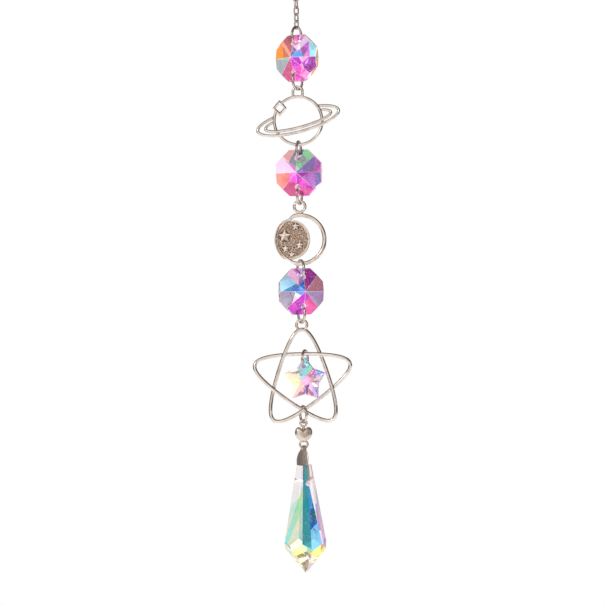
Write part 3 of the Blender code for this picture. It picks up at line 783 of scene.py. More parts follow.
@dataclass
class JumpRings:
    """The open wire rings that join the pieces, each split by a fine seam on its side."""

    silver: bpy.types.Material
    wire_radius: float = 0.000375
    seam: float = radians(3.5)
    steps: int = 72
    sides: int = 18
    turns: dict[str, float] = field(default_factory=lambda: {
        **{
            f"jump_ring_{side}_{bead}_bead": turn
            for bead, turn in BEAD_TURNS.items() for side in ("above", "below")
        },
        "jump_ring_above_crystal_star": STAR_TURN,
        "jump_ring_above_heart": radians(22),
    })
    hanger: str = "hanging_ring"
    hanger_wire_radius: float = 0.0004

    def tree(self) -> bpy.types.NodeTree:
        """Draws an open ring in the XY plane, its seam on the -X side.

        Returns:
            The tree.
        """
        tree, sheet, inputs = WireTree.start("open wire ring", ("Radius", "Wire Radius", "Seam"))
        seam = inputs["Seam"]
        path = sheet.add("GeometryNodeCurveArc", {}, {
            "Resolution": self.steps, "Radius": inputs["Radius"],
            "Start Angle": seam / 2 + pi, "Sweep Angle": tau - seam,
        })
        wire = WireTree.draw(sheet, path, inputs["Wire Radius"], self.sides)
        WireTree.close(sheet, wire, inputs["Finish"])
        return tree

    def build(self) -> None:
        """Makes every ring, stood upright in the plane of what it carries."""
        tree = self.tree()
        across_y = Matrix.Rotation(pi / 2, 4, "Y")
        across_x = Matrix.Rotation(pi / 2, 4, "X")
        jobs = [(node, self.wire_radius, turned(turn, box_centre(node)) @ across_y)
                for node, turn in self.turns.items()]
        jobs.append((self.hanger, self.hanger_wire_radius, turned(0, box_centre(self.hanger)) @ across_x))
        for node, wire_radius, matrix in jobs:
            low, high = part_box(node)
            radius = (high.z - low.z) / 2 - wire_radius
            sizes = {"Radius": radius, "Wire Radius": wire_radius, "Seam": self.seam}
            ring = WireTree.grow(f"{node}_wire", tree, sizes, self.silver)
            seat(ring, matrix)
            install(ring, Slot.SILVER, self.silver, node)


@dataclass
class Chain:
    """The fine cable chain: one oblong link, repeated down a line with a quarter turn less a little."""

    silver: bpy.types.Material
    count: int = 10
    length: float = 0.00305
    width: float = 0.0019
    wire: float = 0.00045
    first_turn: float = radians(90)
    turn: float = radians(85)
    bend_points: int = 40
    sides: int = 12

    def tree(self) -> bpy.types.NodeTree:
        """Draws the chain from its topmost link down.

        Returns:
            The tree.
        """
        lengths = ("Pitch", "Bend Radius", "Straight", "Wire Radius", "First Turn", "Turn")
        tree, sheet, inputs = WireTree.start("cable chain", lengths, ("Count",))
        circle = sheet.add("GeometryNodeCurvePrimitiveCircle", {}, {
            "Resolution": self.bend_points, "Radius": inputs["Bend Radius"],
        })
        spot = sheet.add("GeometryNodeInputPosition")
        x = sheet.add("ShaderNodeSeparateXYZ", {}, {0: spot}, output="X")
        y = sheet.add("ShaderNodeSeparateXYZ", {}, {0: spot}, output="Y")
        stretched = sheet.add("ShaderNodeCombineXYZ", {}, {"X": x, "Z": y + y.sign() * inputs["Straight"]})
        oblong = sheet.add("GeometryNodeSetPosition", {}, {"Geometry": circle, "Position": stretched})
        link = WireTree.draw(sheet, oblong, inputs["Wire Radius"], self.sides)
        drop = sheet.add("ShaderNodeCombineXYZ", {}, {"Z": 0.0 - inputs["Pitch"]})
        line = sheet.add("GeometryNodeMeshLine", {}, {"Count": inputs["Count"], "Offset": drop})
        number = sheet.add("GeometryNodeInputIndex")
        spin = sheet.add("ShaderNodeCombineXYZ", {}, {"Z": inputs["First Turn"] + number * inputs["Turn"]})
        rotation = sheet.add("FunctionNodeEulerToRotation", {}, {0: spin})
        links = sheet.add("GeometryNodeInstanceOnPoints", {}, {
            "Points": line, "Instance": link, "Rotation": rotation,
        })
        WireTree.close(sheet, links, inputs["Finish"])
        return tree

    def build(self) -> None:
        """Makes the chain between its first and last solids."""
        nodes = [f"chain_link_{number + 1:02d}" for number in range(self.count)]
        top, bottom = box_centre(nodes[0]), box_centre(nodes[-1])
        sizes = {
            "Count": self.count, "Pitch": (top.z - bottom.z) / (self.count - 1),
            "Bend Radius": (self.width - self.wire) / 2, "Straight": (self.length - self.width) / 2,
            "Wire Radius": self.wire / 2, "First Turn": self.first_turn, "Turn": self.turn,
        }
        chain = WireTree.grow("cable_chain", self.tree(), sizes, self.silver)
        seat(chain, Matrix.Translation(top))
        install(chain, Slot.SILVER, self.silver, *nodes)


@dataclass(frozen=True)
class FacetCoat:
    """The hues of one facet, zone by zone, each zone with its near and its far hue.

    A cut is a share of the facet's reach and a lean in degrees. It crosses the facet and starts the
    next zone. Where cuts are made in turn, each one divides only what lies past the ones before it.
    """

    zones: tuple[tuple[Coat, Coat], ...]
    cuts: tuple[tuple[float, float], ...] = ()
    in_turn: bool = False


@dataclass(frozen=True)
class Facet:
    """One flat facet of a crystal, with the way that its hues run."""

    outward: Vector
    coat: FacetCoat
    run: Vector = UP
    side: Vector = ACROSS
    reach: float = 1.0

    def cut_planes(self) -> list[tuple[Vector, Vector]]:
        """Places the facet's cuts.

        Returns:
            A plane for each cut: a point and the normal towards the next zone.
        """
        planes = []
        for share, degrees in self.coat.cuts:
            lean = radians(degrees)
            planes.append((self.run * self.reach * share, self.run * cos(lean) + self.side * sin(lean)))
        return planes

    def hues_at(self, spot: Vector) -> tuple[Coat, Coat]:
        """Finds the zone that a spot lies in.

        Args:
            spot: A spot of the facet, in the crystal's own frame.

        Returns:
            The zone's near and far hue.
        """
        passed = [(spot - point).dot(onward) > 0 for point, onward in self.cut_planes()]
        zone = (passed + [False]).index(False) if self.coat.in_turn else sum(passed)
        return self.coat.zones[zone]


@dataclass
class CutCrystal:
    """A cut crystal: flat facets with hair-thin ground edges, bored, and coated facet by facet."""

    edge_width: float = 0.00003
    edge_coat: Coat = Coat.PEARL
    bore_sides: int = 40
    bore_wall: float = 0.02
    sharp_angle: float = radians(22)
    same_facet: float = 0.9995

    def block(self, half_size: float, planes: Sequence[tuple[Vector, Vector]]) -> bmesh.types.BMesh:
        """Cuts a block by planes.

        Args:
            half_size: Half the block's width.
            planes: Each a point and an outward normal.

        Returns:
            What is left of the block.
        """
        builder = bmesh.new()
        bmesh.ops.create_cube(builder, size=2 * half_size)
        for point, outward in planes:
            geometry = builder.verts[:] + builder.edges[:] + builder.faces[:]
            cut = bmesh.ops.bisect_plane(
                builder, geom=geometry, dist=WELD, plane_co=point, plane_no=outward, clear_outer=True
            )
            edges = [item for item in cut["geom_cut"] if isinstance(item, bmesh.types.BMEdge)]
            bmesh.ops.edgeloop_fill(builder, edges=edges)
        bmesh.ops.remove_doubles(builder, verts=builder.verts, dist=WELD)
        return builder

    def grind(self, name: str, builder: bmesh.types.BMesh, bores: Iterable[tuple[float, float]],
              bore_length: float) -> bpy.types.Object:
        """Grinds the edges and bores the crystal from front to back.

        Args:
            name: The piece's name.
            builder: Its facets, which are used up.
            bores: Each bore's height and radius.
            bore_length: Length of the cutter.

        Returns:
            The crystal.
        """
        face_outwards(builder)
        bmesh.ops.bevel(
            builder, geom=builder.edges[:], offset=self.edge_width, segments=1, profile=0.5, affect="EDGES"
        )
        crystal = from_builder(name, builder, smooth=False)
        cutters = []
        for height, radius in bores:
            cutter = bmesh.new()
            bmesh.ops.create_cone(
                cutter, cap_ends=True, segments=self.bore_sides, radius1=radius, radius2=radius,
                depth=bore_length,
                matrix=Matrix.Translation((0, 0, height)) @ Matrix.Rotation(pi / 2, 4, "X"),
            )
            cutters.append(from_builder(f"{name}_bore", cutter))
            step = crystal.modifiers.new("bore", "BOOLEAN")
            step.operation = "DIFFERENCE"
            step.solver = "EXACT"
            step.object = cutters[-1]
        crystal = bake(crystal)
        for cutter in cutters:
            bpy.data.objects.remove(cutter, do_unlink=True)
        return crystal

    def coat(self, crystal: bpy.types.Object, facets: Sequence[Facet]) -> None:
        """Cuts each facet's zones and writes their hues, and smooths the bores.

        Args:
            crystal: The crystal in its own frame.
            facets: Its facets.
        """
        builder = bmesh.new()
        builder.from_mesh(crystal.data)
        builder.normal_update()
        for facet in facets:
            for point, onward in facet.cut_planes():
                faces = [face for face in builder.faces if face.normal.dot(facet.outward) > self.same_facet]
                edges = {edge for face in faces for edge in face.edges}
                verts = {vert for face in faces for vert in face.verts}
                bmesh.ops.bisect_plane(
                    builder, geom=[*verts, *edges, *faces], dist=WELD, plane_co=point, plane_no=onward
                )
        builder.to_mesh(crystal.data)
        builder.free()
        mesh = crystal.data
        layers = [mesh.attributes.new(title, "FLOAT_COLOR", "CORNER") for title in (COAT_NEAR, COAT_FAR)]
        for polygon in mesh.polygons:
            match = max(facets, key=lambda facet: facet.outward.dot(polygon.normal))
            hit = match.outward.dot(polygon.normal) > self.same_facet
            hues = match.hues_at(polygon.center) if hit else (self.edge_coat, self.edge_coat)
            polygon.use_smooth = not hit and abs(polygon.normal.y) < self.bore_wall
            for layer, hue in zip(layers, hues):
                for corner in polygon.loop_indices:
                    layer.data[corner].color = hue.tint()
        mesh.set_sharp_from_angle(angle=self.sharp_angle)


@dataclass
class OctagonBead(CutCrystal):
    """A two-bore octagon bead: eight kite facets a side over a narrow girdle."""

    across_flats: float = 0.0140
    depth: float = 0.0081
    facet_slope: float = 0.481
    bore_radius: float = 0.00085
    bore_inset: float = 0.0026
    kites: int = 8
    front_rows: dict[str, tuple[FacetCoat, ...]] = field(default_factory=lambda: {
        "top": (
            FacetCoat(((Coat.AZURE, Coat.AZURE), (Coat.PINK, Coat.ORCHID), (Coat.SKY, Coat.AQUA)),
                      ((0.48, 16), (0.80, -14))),
            FacetCoat(((Coat.SLATE, Coat.LILAC), (Coat.BLUSH, Coat.PINK), (Coat.CLEAR, Coat.PEARL)),
                      ((0.40, -20), (0.62, -62))),
            FacetCoat(((Coat.SALMON, Coat.SALMON), (Coat.ROSE, Coat.ROSE)), ((0.30, -68),)),
            FacetCoat(((Coat.TERRACOTTA, Coat.TERRACOTTA), (Coat.ORANGE, Coat.ORANGE)), ((0.56, 34),)),
            FacetCoat(((Coat.SAGE, Coat.SAGE), (Coat.GREY, Coat.SAGE)), ((0.66, -24),)),
            FacetCoat(((Coat.CRIMSON, Coat.CRIMSON), (Coat.MAUVE, Coat.CRIMSON)), ((0.62, 25),)),
            FacetCoat(((Coat.MAGENTA, Coat.MAGENTA), (Coat.HOT_PINK, Coat.HOT_PINK), (Coat.BLUSH, Coat.PINK)),
                      ((0.40, -24), (0.74, 38))),
            FacetCoat(((Coat.MAGENTA, Coat.MAGENTA), (Coat.BLUSH, Coat.PINK), (Coat.ORCHID, Coat.PLUM)),
                      ((0.44, 42), (0.54, -28))),
        ),
        "middle": (
            FacetCoat(((Coat.SLATE, Coat.SLATE), (Coat.SLATE, Coat.HEATHER)), ((0.78, -30),)),
            FacetCoat(((Coat.MINT, Coat.MINT), (Coat.SAGE, Coat.GREY), (Coat.MINT, Coat.MINT)),
                      ((0.44, 42), (0.76, -36))),
            FacetCoat(((Coat.HOT_PINK, Coat.PINK), (Coat.GREY, Coat.TEAL), (Coat.PEACH, Coat.PEACH)),
                      ((0.26, -58), (0.70, 40))),
            FacetCoat(((Coat.BLUSH, Coat.BLUSH), (Coat.PEARL, Coat.BLUSH)), ((0.60, 30),)),
            FacetCoat(((Coat.PINK, Coat.CORAL), (Coat.CORAL, Coat.SALMON)), ((0.36, -18),)),
            FacetCoat(((Coat.HOT_PINK, Coat.HOT_PINK), (Coat.CRIMSON, Coat.CRIMSON)), ((0.44, 12),)),
            FacetCoat(((Coat.MAGENTA, Coat.MAGENTA), (Coat.HOT_PINK, Coat.MAGENTA),
                       (Coat.RASPBERRY, Coat.RASPBERRY)),
                      ((0.42, 28), (0.70, -30))),
            FacetCoat(((Coat.PLUM, Coat.MAGENTA), (Coat.HEATHER, Coat.HEATHER), (Coat.HEATHER, Coat.SLATE)),
                      ((0.36, -35), (0.80, 26))),
        ),
        "bottom": (
            FacetCoat(((Coat.MAUVE, Coat.MAUVE), (Coat.MAUVE, Coat.MAUVE)), ((0.60, 22),)),
            FacetCoat(((Coat.CRIMSON, Coat.CRIMSON), (Coat.PLUM, Coat.PLUM), (Coat.CRIMSON, Coat.PLUM)),
                      ((0.34, -45), (0.72, 34))),
            FacetCoat(((Coat.BLUE, Coat.BLUE), (Coat.SLATE, Coat.LILAC), (Coat.BLUSH, Coat.BLUSH)),
                      ((0.36, 20), (0.58, 58))),
            FacetCoat(((Coat.AZURE, Coat.AZURE), (Coat.BLUE, Coat.TEAL), (Coat.SKY, Coat.AQUA)),
                      ((0.28, 30), (0.60, -38))),
            FacetCoat(((Coat.AZURE, Coat.LILAC), (Coat.CLEAR, Coat.CLEAR), (Coat.GREY, Coat.GREY)),
                      ((0.30, 40), (0.48, -36))),
            FacetCoat(((Coat.MAGENTA, Coat.MAGENTA), (Coat.HOT_PINK, Coat.MAGENTA)), ((0.72, -30),)),
            FacetCoat(((Coat.MAGENTA, Coat.RASPBERRY), (Coat.RASPBERRY, Coat.RASPBERRY)), ((0.34, 26),)),
            FacetCoat(((Coat.GREY, Coat.GREY), (Coat.ORCHID, Coat.LILAC), (Coat.GREY, Coat.GREY)),
                      ((0.46, -50), (0.54, -46))),
        ),
    })
    back_row: tuple[tuple[Coat, Coat], ...] = (
        (Coat.CLEAR, Coat.PEARL), (Coat.PEARL, Coat.CLEAR),
        (Coat.CLEAR, Coat.PEARL), (Coat.CLEAR, Coat.CLEAR),
        (Coat.PEARL, Coat.PEARL), (Coat.BLUSH, Coat.CLEAR),
        (Coat.CLEAR, Coat.PEARL), (Coat.PEARL, Coat.BLUSH),
    )

    def facet_normal(self, number: int, side: int) -> Vector:
        """Outward normal of a kite facet.

        Args:
            number: The facet's number, from the viewer's right against the clock.
            side: -1 for the front, 1 for the back.

        Returns:
            The normal.
        """
        turn = tau * (number + 0.5) / self.kites
        slope = Vector((cos(turn), 0, sin(turn))) * self.facet_slope
        return (Vector((0, side, 0)) + slope).normalized()

    def shape(self, name: str) -> bpy.types.Object:
        """Cuts, grinds and bores one bead in its own frame.

        Args:
            name: The piece's name.

        Returns:
            The bead.
        """
        planes = []
        for number in range(self.kites):
            turn = tau * number / self.kites
            outward = Vector((cos(turn), 0, sin(turn)))
            planes.append((outward * self.across_flats / 2, outward))
            for side in (-1, 1):
                planes.append((Vector((0, side * self.depth / 2, 0)), self.facet_normal(number, side)))
        offset = self.across_flats / 2 - self.bore_inset
        builder = self.block(self.across_flats, planes)
        bores = [(offset, self.bore_radius), (-offset, self.bore_radius)]
        return self.grind(name, builder, bores, 2 * self.depth)

    def facets(self, front: Sequence[FacetCoat]) -> list[Facet]:
        """Lists a bead's facets.

        Args:
            front: Coats of the eight front facets.

        Returns:
            Every facet, the girdle's among them.
        """
        found = []
        half = self.across_flats / 2
        for number in range(self.kites):
            middle = tau * (number + 0.5) / self.kites
            run, side = Vector((cos(middle), 0, sin(middle))), Vector((-sin(middle), 0, cos(middle)))
            found.append(Facet(self.facet_normal(number, -1), front[number], run, side, half))
            found.append(Facet(self.facet_normal(number, 1), FacetCoat((self.back_row[number],))))
            turn = tau * number / self.kites
            found.append(Facet(Vector((cos(turn), 0, sin(turn))), FacetCoat(((Coat.CLEAR, Coat.CLEAR),))))
        return found

    def build(self) -> None:
        """Makes the three beads."""
        half = self.across_flats / 2
        for position, turn in BEAD_TURNS.items():
            node = f"octagon_bead_{position}"
            centre = box_centre(node)
            bead = self.shape(f"{node}_cut")
            self.coat(bead, self.facets(self.front_rows[position]))
            seat(bead, turned(turn, centre))
            finish = CrystalFinish(f"coated crystal of the {position} bead", tuple(centre), half)
            install(bead, Slot.CRYSTAL, finish.material(), node)


@dataclass
class CrystalStar(CutCrystal):
    """The five-point star, ridged to its tips and hollowed to its notches."""

    node: str = "crystal_star"
    tip_radius: float = 0.00675
    notch_radius: float = 0.0043
    depth: float = 0.0065
    girdle: float = 0.0009
    bore_radius: float = 0.0007
    bore_inset: float = 0.00265
    edge_coat: Coat = Coat.LILAC
    hue_turn: Span = (0.15, 0.60)
    patches: float = 0.08
    front_row: tuple[FacetCoat, ...] = (
        FacetCoat(((Coat.AQUA, Coat.MIST), (Coat.MIST, Coat.MIST)), ((0.45, 30),)),
        FacetCoat(((Coat.CREAM, Coat.BUTTER), (Coat.BUTTER, Coat.CREAM)), ((0.4, 20),)),
        FacetCoat(((Coat.BUTTER, Coat.BUTTER), (Coat.CREAM, Coat.BUTTER)), ((0.5, -20),)),
        FacetCoat(((Coat.APRICOT, Coat.BUTTER), (Coat.BUTTER, Coat.CREAM)), ((0.28, 40),)),
        FacetCoat(((Coat.APRICOT, Coat.DUSK), (Coat.DUSK, Coat.DUSK)), ((0.34, 30),)),
        FacetCoat(((Coat.DUSK, Coat.DUSK), (Coat.DUSK, Coat.BLUSH), (Coat.BLUSH, Coat.DUSK)),
                  ((0.26, -40), (0.55, 30))),
        FacetCoat(((Coat.PINK, Coat.BLUSH), (Coat.LILAC, Coat.LILAC)), ((0.50, 30),)),
        FacetCoat(((Coat.PINK, Coat.BLUSH), (Coat.BLUSH, Coat.PEARL)), ((0.50, -20),)),
        FacetCoat(((Coat.PINK, Coat.BLUSH), (Coat.BLUSH, Coat.BLUSH), (Coat.SKY, Coat.SKY)),
                  ((0.40, 30), (0.70, -10))),
        FacetCoat(((Coat.SKY, Coat.AQUA), (Coat.AQUA, Coat.AQUA), (Coat.MIST, Coat.AQUA)),
                  ((0.24, -30), (0.60, 30))),
    )
    back_row: tuple[FacetCoat, ...] = (
        FacetCoat(((Coat.CLEAR, Coat.PEARL),)), FacetCoat(((Coat.CREAM, Coat.CLEAR),)),
    ) * 5

    def corners(self) -> list[tuple[float, float]]:
        """Finds the outline's corners.

        Returns:
            The corners as (x, z), the top tip first, against the clock.
        """
        reaches = (self.tip_radius, self.notch_radius)
        turns = [pi / 2 + tau * corner / STAR_CORNERS for corner in range(STAR_CORNERS)]
        return [(reaches[n % 2] * cos(turn), reaches[n % 2] * sin(turn)) for n, turn in enumerate(turns)]

    def build(self) -> None:
        """Makes the star."""
        builder = bmesh.new()
        corners = self.corners()
        rows = {
            side: [builder.verts.new((x, side * self.girdle / 2, z)) for x, z in corners] for side in (-1, 1)
        }
        facets = []
        for side, hues in ((-1, self.front_row), (1, self.back_row)):
            apex = builder.verts.new((0, side * self.depth / 2, 0))
            for corner in range(STAR_CORNERS):
                following = (corner + 1) % STAR_CORNERS
                builder.faces.new((apex, rows[side][corner], rows[side][following]))
                first = rows[side][corner].co - apex.co
                second = rows[side][following].co - apex.co
                normal = first.cross(second).normalized()
                outward = normal if normal.y * side > 0 else -normal
                middle = pi / 2 + tau * (corner + 0.5) / STAR_CORNERS
                run, across = Vector((cos(middle), 0, sin(middle))), Vector((-sin(middle), 0, cos(middle)))
                facets.append(Facet(outward, hues[corner], run, across, self.tip_radius))
        join_rings(builder, rows[-1], rows[1])
        bores = [(self.tip_radius - self.bore_inset, self.bore_radius)]
        star = self.grind(f"{self.node}_cut", builder, bores, 2 * self.depth)
        self.coat(star, facets)
        low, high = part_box(self.node)
        place = Vector(((low.x + high.x) / 2, (low.y + high.y) / 2, high.z - self.tip_radius))
        seat(star, turned(STAR_TURN, place))
        finish = CrystalFinish(
            "coated crystal of the star", tuple(place), self.tip_radius, self.hue_turn, self.patches
        )
        install(star, Slot.CRYSTAL, finish.material(), self.node)


@dataclass
class CrystalDrop(CutCrystal):
    """The long icicle drop: six facets that widen down to six short ones."""

    node: str = "crystal_drop"
    turn: float = radians(21.5)
    top_radius: float = 0.0024
    widest_radius: float = 0.00677
    shoulder_length: float = 0.0234
    point_length: float = 0.0094
    bore_radius: float = 0.0008
    bore_depth: float = 0.0055
    sides: int = 6
    hue_turn: Span = (0.20, 0.80)
    patches: float = 0.16
    patch_scale: float = 190.0
    shoulder_row: tuple[FacetCoat, ...] = (
        FacetCoat(((Coat.TEAL, Coat.TEAL), (Coat.CLEAR, Coat.PEARL), (Coat.AZURE, Coat.AZURE),
                   (Coat.BLUE, Coat.BLUE), (Coat.AZURE, Coat.SKY)),
                  ((0.0, 89), (0.13, -81), (0.42, 68), (0.58, 40)), in_turn=True),
        FacetCoat(((Coat.PEARL, Coat.BLUSH), (Coat.LILAC, Coat.PEARL), (Coat.ORCHID, Coat.BLUSH)),
                  ((0.24, 40), (0.48, -30))),
        FacetCoat(((Coat.PEARL, Coat.CLEAR), (Coat.CLEAR, Coat.SKY)), ((0.40, 30),)),
        FacetCoat(((Coat.CLEAR, Coat.CREAM), (Coat.AQUA, Coat.CLEAR)), ((0.36, -30),)),
        FacetCoat(((Coat.PEARL, Coat.BLUSH), (Coat.ORCHID, Coat.LILAC)), ((0.42, 20),)),
        FacetCoat(((Coat.CLEAR, Coat.CREAM), (Coat.LIME, Coat.AQUA), (Coat.CREAM, Coat.CREAM)),
                  ((0.36, 72), (0.56, 66))),
    )
    point_row: tuple[FacetCoat, ...] = (
        FacetCoat(((Coat.LEMON, Coat.LEMON), (Coat.AMBER, Coat.LEMON), (Coat.LEMON, Coat.CREAM)),
                  ((0.76, 40), (0.82, -20))),
        FacetCoat(((Coat.PEARL, Coat.BLUSH), (Coat.BUTTER, Coat.AMBER)), ((0.82, 30),)),
        FacetCoat(((Coat.CLEAR, Coat.CLEAR),)),
        FacetCoat(((Coat.CLEAR, Coat.CLEAR),)),
        FacetCoat(((Coat.CLEAR, Coat.BUTTER),)),
        FacetCoat(((Coat.LIME, Coat.LIME), (Coat.LEMON, Coat.LEMON), (Coat.CREAM, Coat.CLEAR)),
                  ((0.76, -30), (0.84, 20))),
    )

    def apothem(self, depth: float) -> float:
        """How far the middle of a side is from the drop's axis.

        Args:
            depth: How far below the drop's top, above its widest place.

        Returns:
            The distance.
        """
        widening = (self.widest_radius - self.top_radius) * depth / self.shoulder_length
        return (self.top_radius + widening) * cos(pi / self.sides)

    def build(self) -> None:
        """Makes the drop."""
        flat = cos(pi / self.sides)
        widening = (self.widest_radius - self.top_radius) * flat / self.shoulder_length
        narrowing = self.widest_radius / self.point_length
        tip = Vector((0, 0, -self.shoulder_length - self.point_length))
        planes = [(Vector((0, 0, 0)), UP)]
        length = self.shoulder_length + self.point_length
        facets = [Facet(UP, FacetCoat(((Coat.CREAM, Coat.CREAM),)))]
        for number in range(self.sides):
            turn = -pi / 2 + tau * number / self.sides
            outward = Vector((cos(turn), sin(turn), 0))
            shoulder = (outward + UP * widening).normalized()
            planes.append((outward * self.top_radius * flat, shoulder))
            side = Vector((-sin(turn), cos(turn), 0))
            facets.append(Facet(shoulder, self.shoulder_row[number], -UP, side, length))
            edge = Vector((cos(turn + pi / self.sides), sin(turn + pi / self.sides), 0))
            point = (edge - UP * narrowing).normalized()
            planes.append((tip, point))
            facets.append(Facet(point, self.point_row[number], -UP, side, length))
        builder = self.block(2 * self.shoulder_length, planes)
        bores = [(-self.bore_depth, self.bore_radius)]
        drop = self.grind(f"{self.node}_cut", builder, bores, 4 * self.widest_radius)
        self.coat(drop, facets)
        low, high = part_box(self.node)
        place = Vector(((low.x + high.x) / 2, (low.y + high.y) / 2, high.z))
        seat(drop, turned(self.turn, place))
        finish = CrystalFinish(
            "coated crystal of the drop", tuple(place), length, self.hue_turn, self.patches,
            self.patch_scale, along_z=True,
        )
        install(drop, Slot.CRYSTAL, finish.material(), self.node)


@dataclass
class PlanetCharm:
    """The open planet with its tilted double ring, its sparkle and its arch."""

    silver: bpy.types.Material
    node: str = "planet_charm"
    outer_radius: float = 0.0077
    strand: float = 0.00095
    arch_rise: float = 0.0030
    arch_wire: float = 0.00085
    arch_width: float = 0.0037
    band_wire: float = 0.00095
    band_tilt: float = radians(14)
    band_sizes: tuple[tuple[float, float], ...] = ((0.0126, 0.00335), (0.0102, 0.0021))
    band_forward: float = 0.00055
    sparkle_turn: float = radians(145)
    sparkle_inset: float = 0.0005
    sparkle_width: float = 0.0043
    sparkle_height: float = 0.0050
    sparkle_waist: float = 0.0017
    sparkle_hole: float = 0.0012
    sparkle_thickness: float = 0.0011
    sparkle_edge: float = 0.4
    sparkle_corners: int = 8
    outline_steps: int = 160
    band_steps: int = 110
    arch_steps: int = 36
    skin: float = 0.00002
    voxel: float = 0.00008
    melt_rounds: int = 3

    def band(self, builder: bmesh.types.BMesh, width: float, height: float) -> None:
        """Adds one strand of the planet's ring, in front below and ending on the outline above.

        Args:
            builder: The bmesh that takes the strand.
            width: Half the ring's width.
            height: Half the ring's height.
        """
        ring_radius = self.outer_radius - self.strand / 2
        reach = asin(sqrt((ring_radius ** 2 - height ** 2) / (width ** 2 - height ** 2)))
        tilt = Matrix.Rotation(-self.band_tilt, 3, "Y")
        start, end = pi / 2 + reach, tau + pi / 2 - reach
        points = []
        for step in range(self.band_steps + 1):
            angle = start + (end - start) * step / self.band_steps
            flat = Vector((width * cos(angle), 0, height * sin(angle)))
            points.append(tilt @ flat + AWAY * self.band_forward * sin(angle))
        add_tube(builder, points, self.band_wire / 2 - self.skin, closed=False)

    def sparkle(self, builder: bmesh.types.BMesh) -> None:
        """Adds the open four-point star as four kinked bars, ridged along their middle.

        Args:
            builder: The bmesh that takes the bars.
        """
        reach = self.outer_radius - self.strand / 2 - self.sparkle_inset
        centre = Vector((reach * cos(self.sparkle_turn), 0, reach * sin(self.sparkle_turn)))
        half = self.sparkle_thickness / 2 - self.skin
        tips = (self.sparkle_width / 2, self.sparkle_waist, self.sparkle_height / 2, self.sparkle_waist)
        outer, ridge, inner = [], [], []
        for corner in range(self.sparkle_corners):
            turn = tau * corner / self.sparkle_corners
            tip = tips[corner % len(tips)]
            hole = self.sparkle_hole * (sqrt(0.5) if corner % 2 else 1.0)
            outward = Vector((cos(turn), 0, sin(turn)))
            outer.append(centre + outward * tip)
            ridge.append(centre + outward * (tip + hole) / 2)
            inner.append(centre + outward * hole)
        edge = half * self.sparkle_edge
        section = (
            (outer, edge), (ridge, half), (inner, edge), (inner, -edge), (ridge, -half), (outer, -edge),
        )
        rows = [[builder.verts.new(point + AWAY * depth) for point in line] for line, depth in section]
        for row, beyond in zip(rows, rows[1:] + rows[:1]):
            for index in range(self.sparkle_corners):
                following = (index + 1) % self.sparkle_corners
                builder.faces.new((row[index], beyond[index], beyond[following], row[following]))

    def build(self) -> None:
        """Makes the charm as one casting."""
        builder = bmesh.new()
        ring_radius = self.outer_radius - self.strand / 2
        window = (self.sparkle_hole + self.sparkle_waist * sqrt(0.5)) / 2 / ring_radius
        start, end = self.sparkle_turn + window, self.sparkle_turn - window + tau
        outline = arc(Vector(), ACROSS, UP, ring_radius, start, end, self.outline_steps)
        add_tube(builder, outline, self.strand / 2 - self.skin, closed=False)
        arch_radius = (self.arch_width - self.arch_wire) / 2
        arch_centre = UP * (self.outer_radius + self.arch_rise - self.arch_width / 2)
        foot = UP * sqrt(ring_radius ** 2 - arch_radius ** 2)
        points = arc(arch_centre, ACROSS, UP, arch_radius, 0, pi, self.arch_steps)
        points = [foot + ACROSS * arch_radius, *points, foot - ACROSS * arch_radius]
        add_tube(builder, points, self.arch_wire / 2 - self.skin, closed=False)
        for width, height in self.band_sizes:
            self.band(builder, width, height)
        self.sparkle(builder)
        charm = melt(from_builder(f"{self.node}_casting", builder), self.voxel, self.melt_rounds)
        low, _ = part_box(self.node)
        seat(charm, Matrix.Translation((0, 0, low.z + self.outer_radius)))
        install(charm, Slot.SILVER, self.silver, self.node)


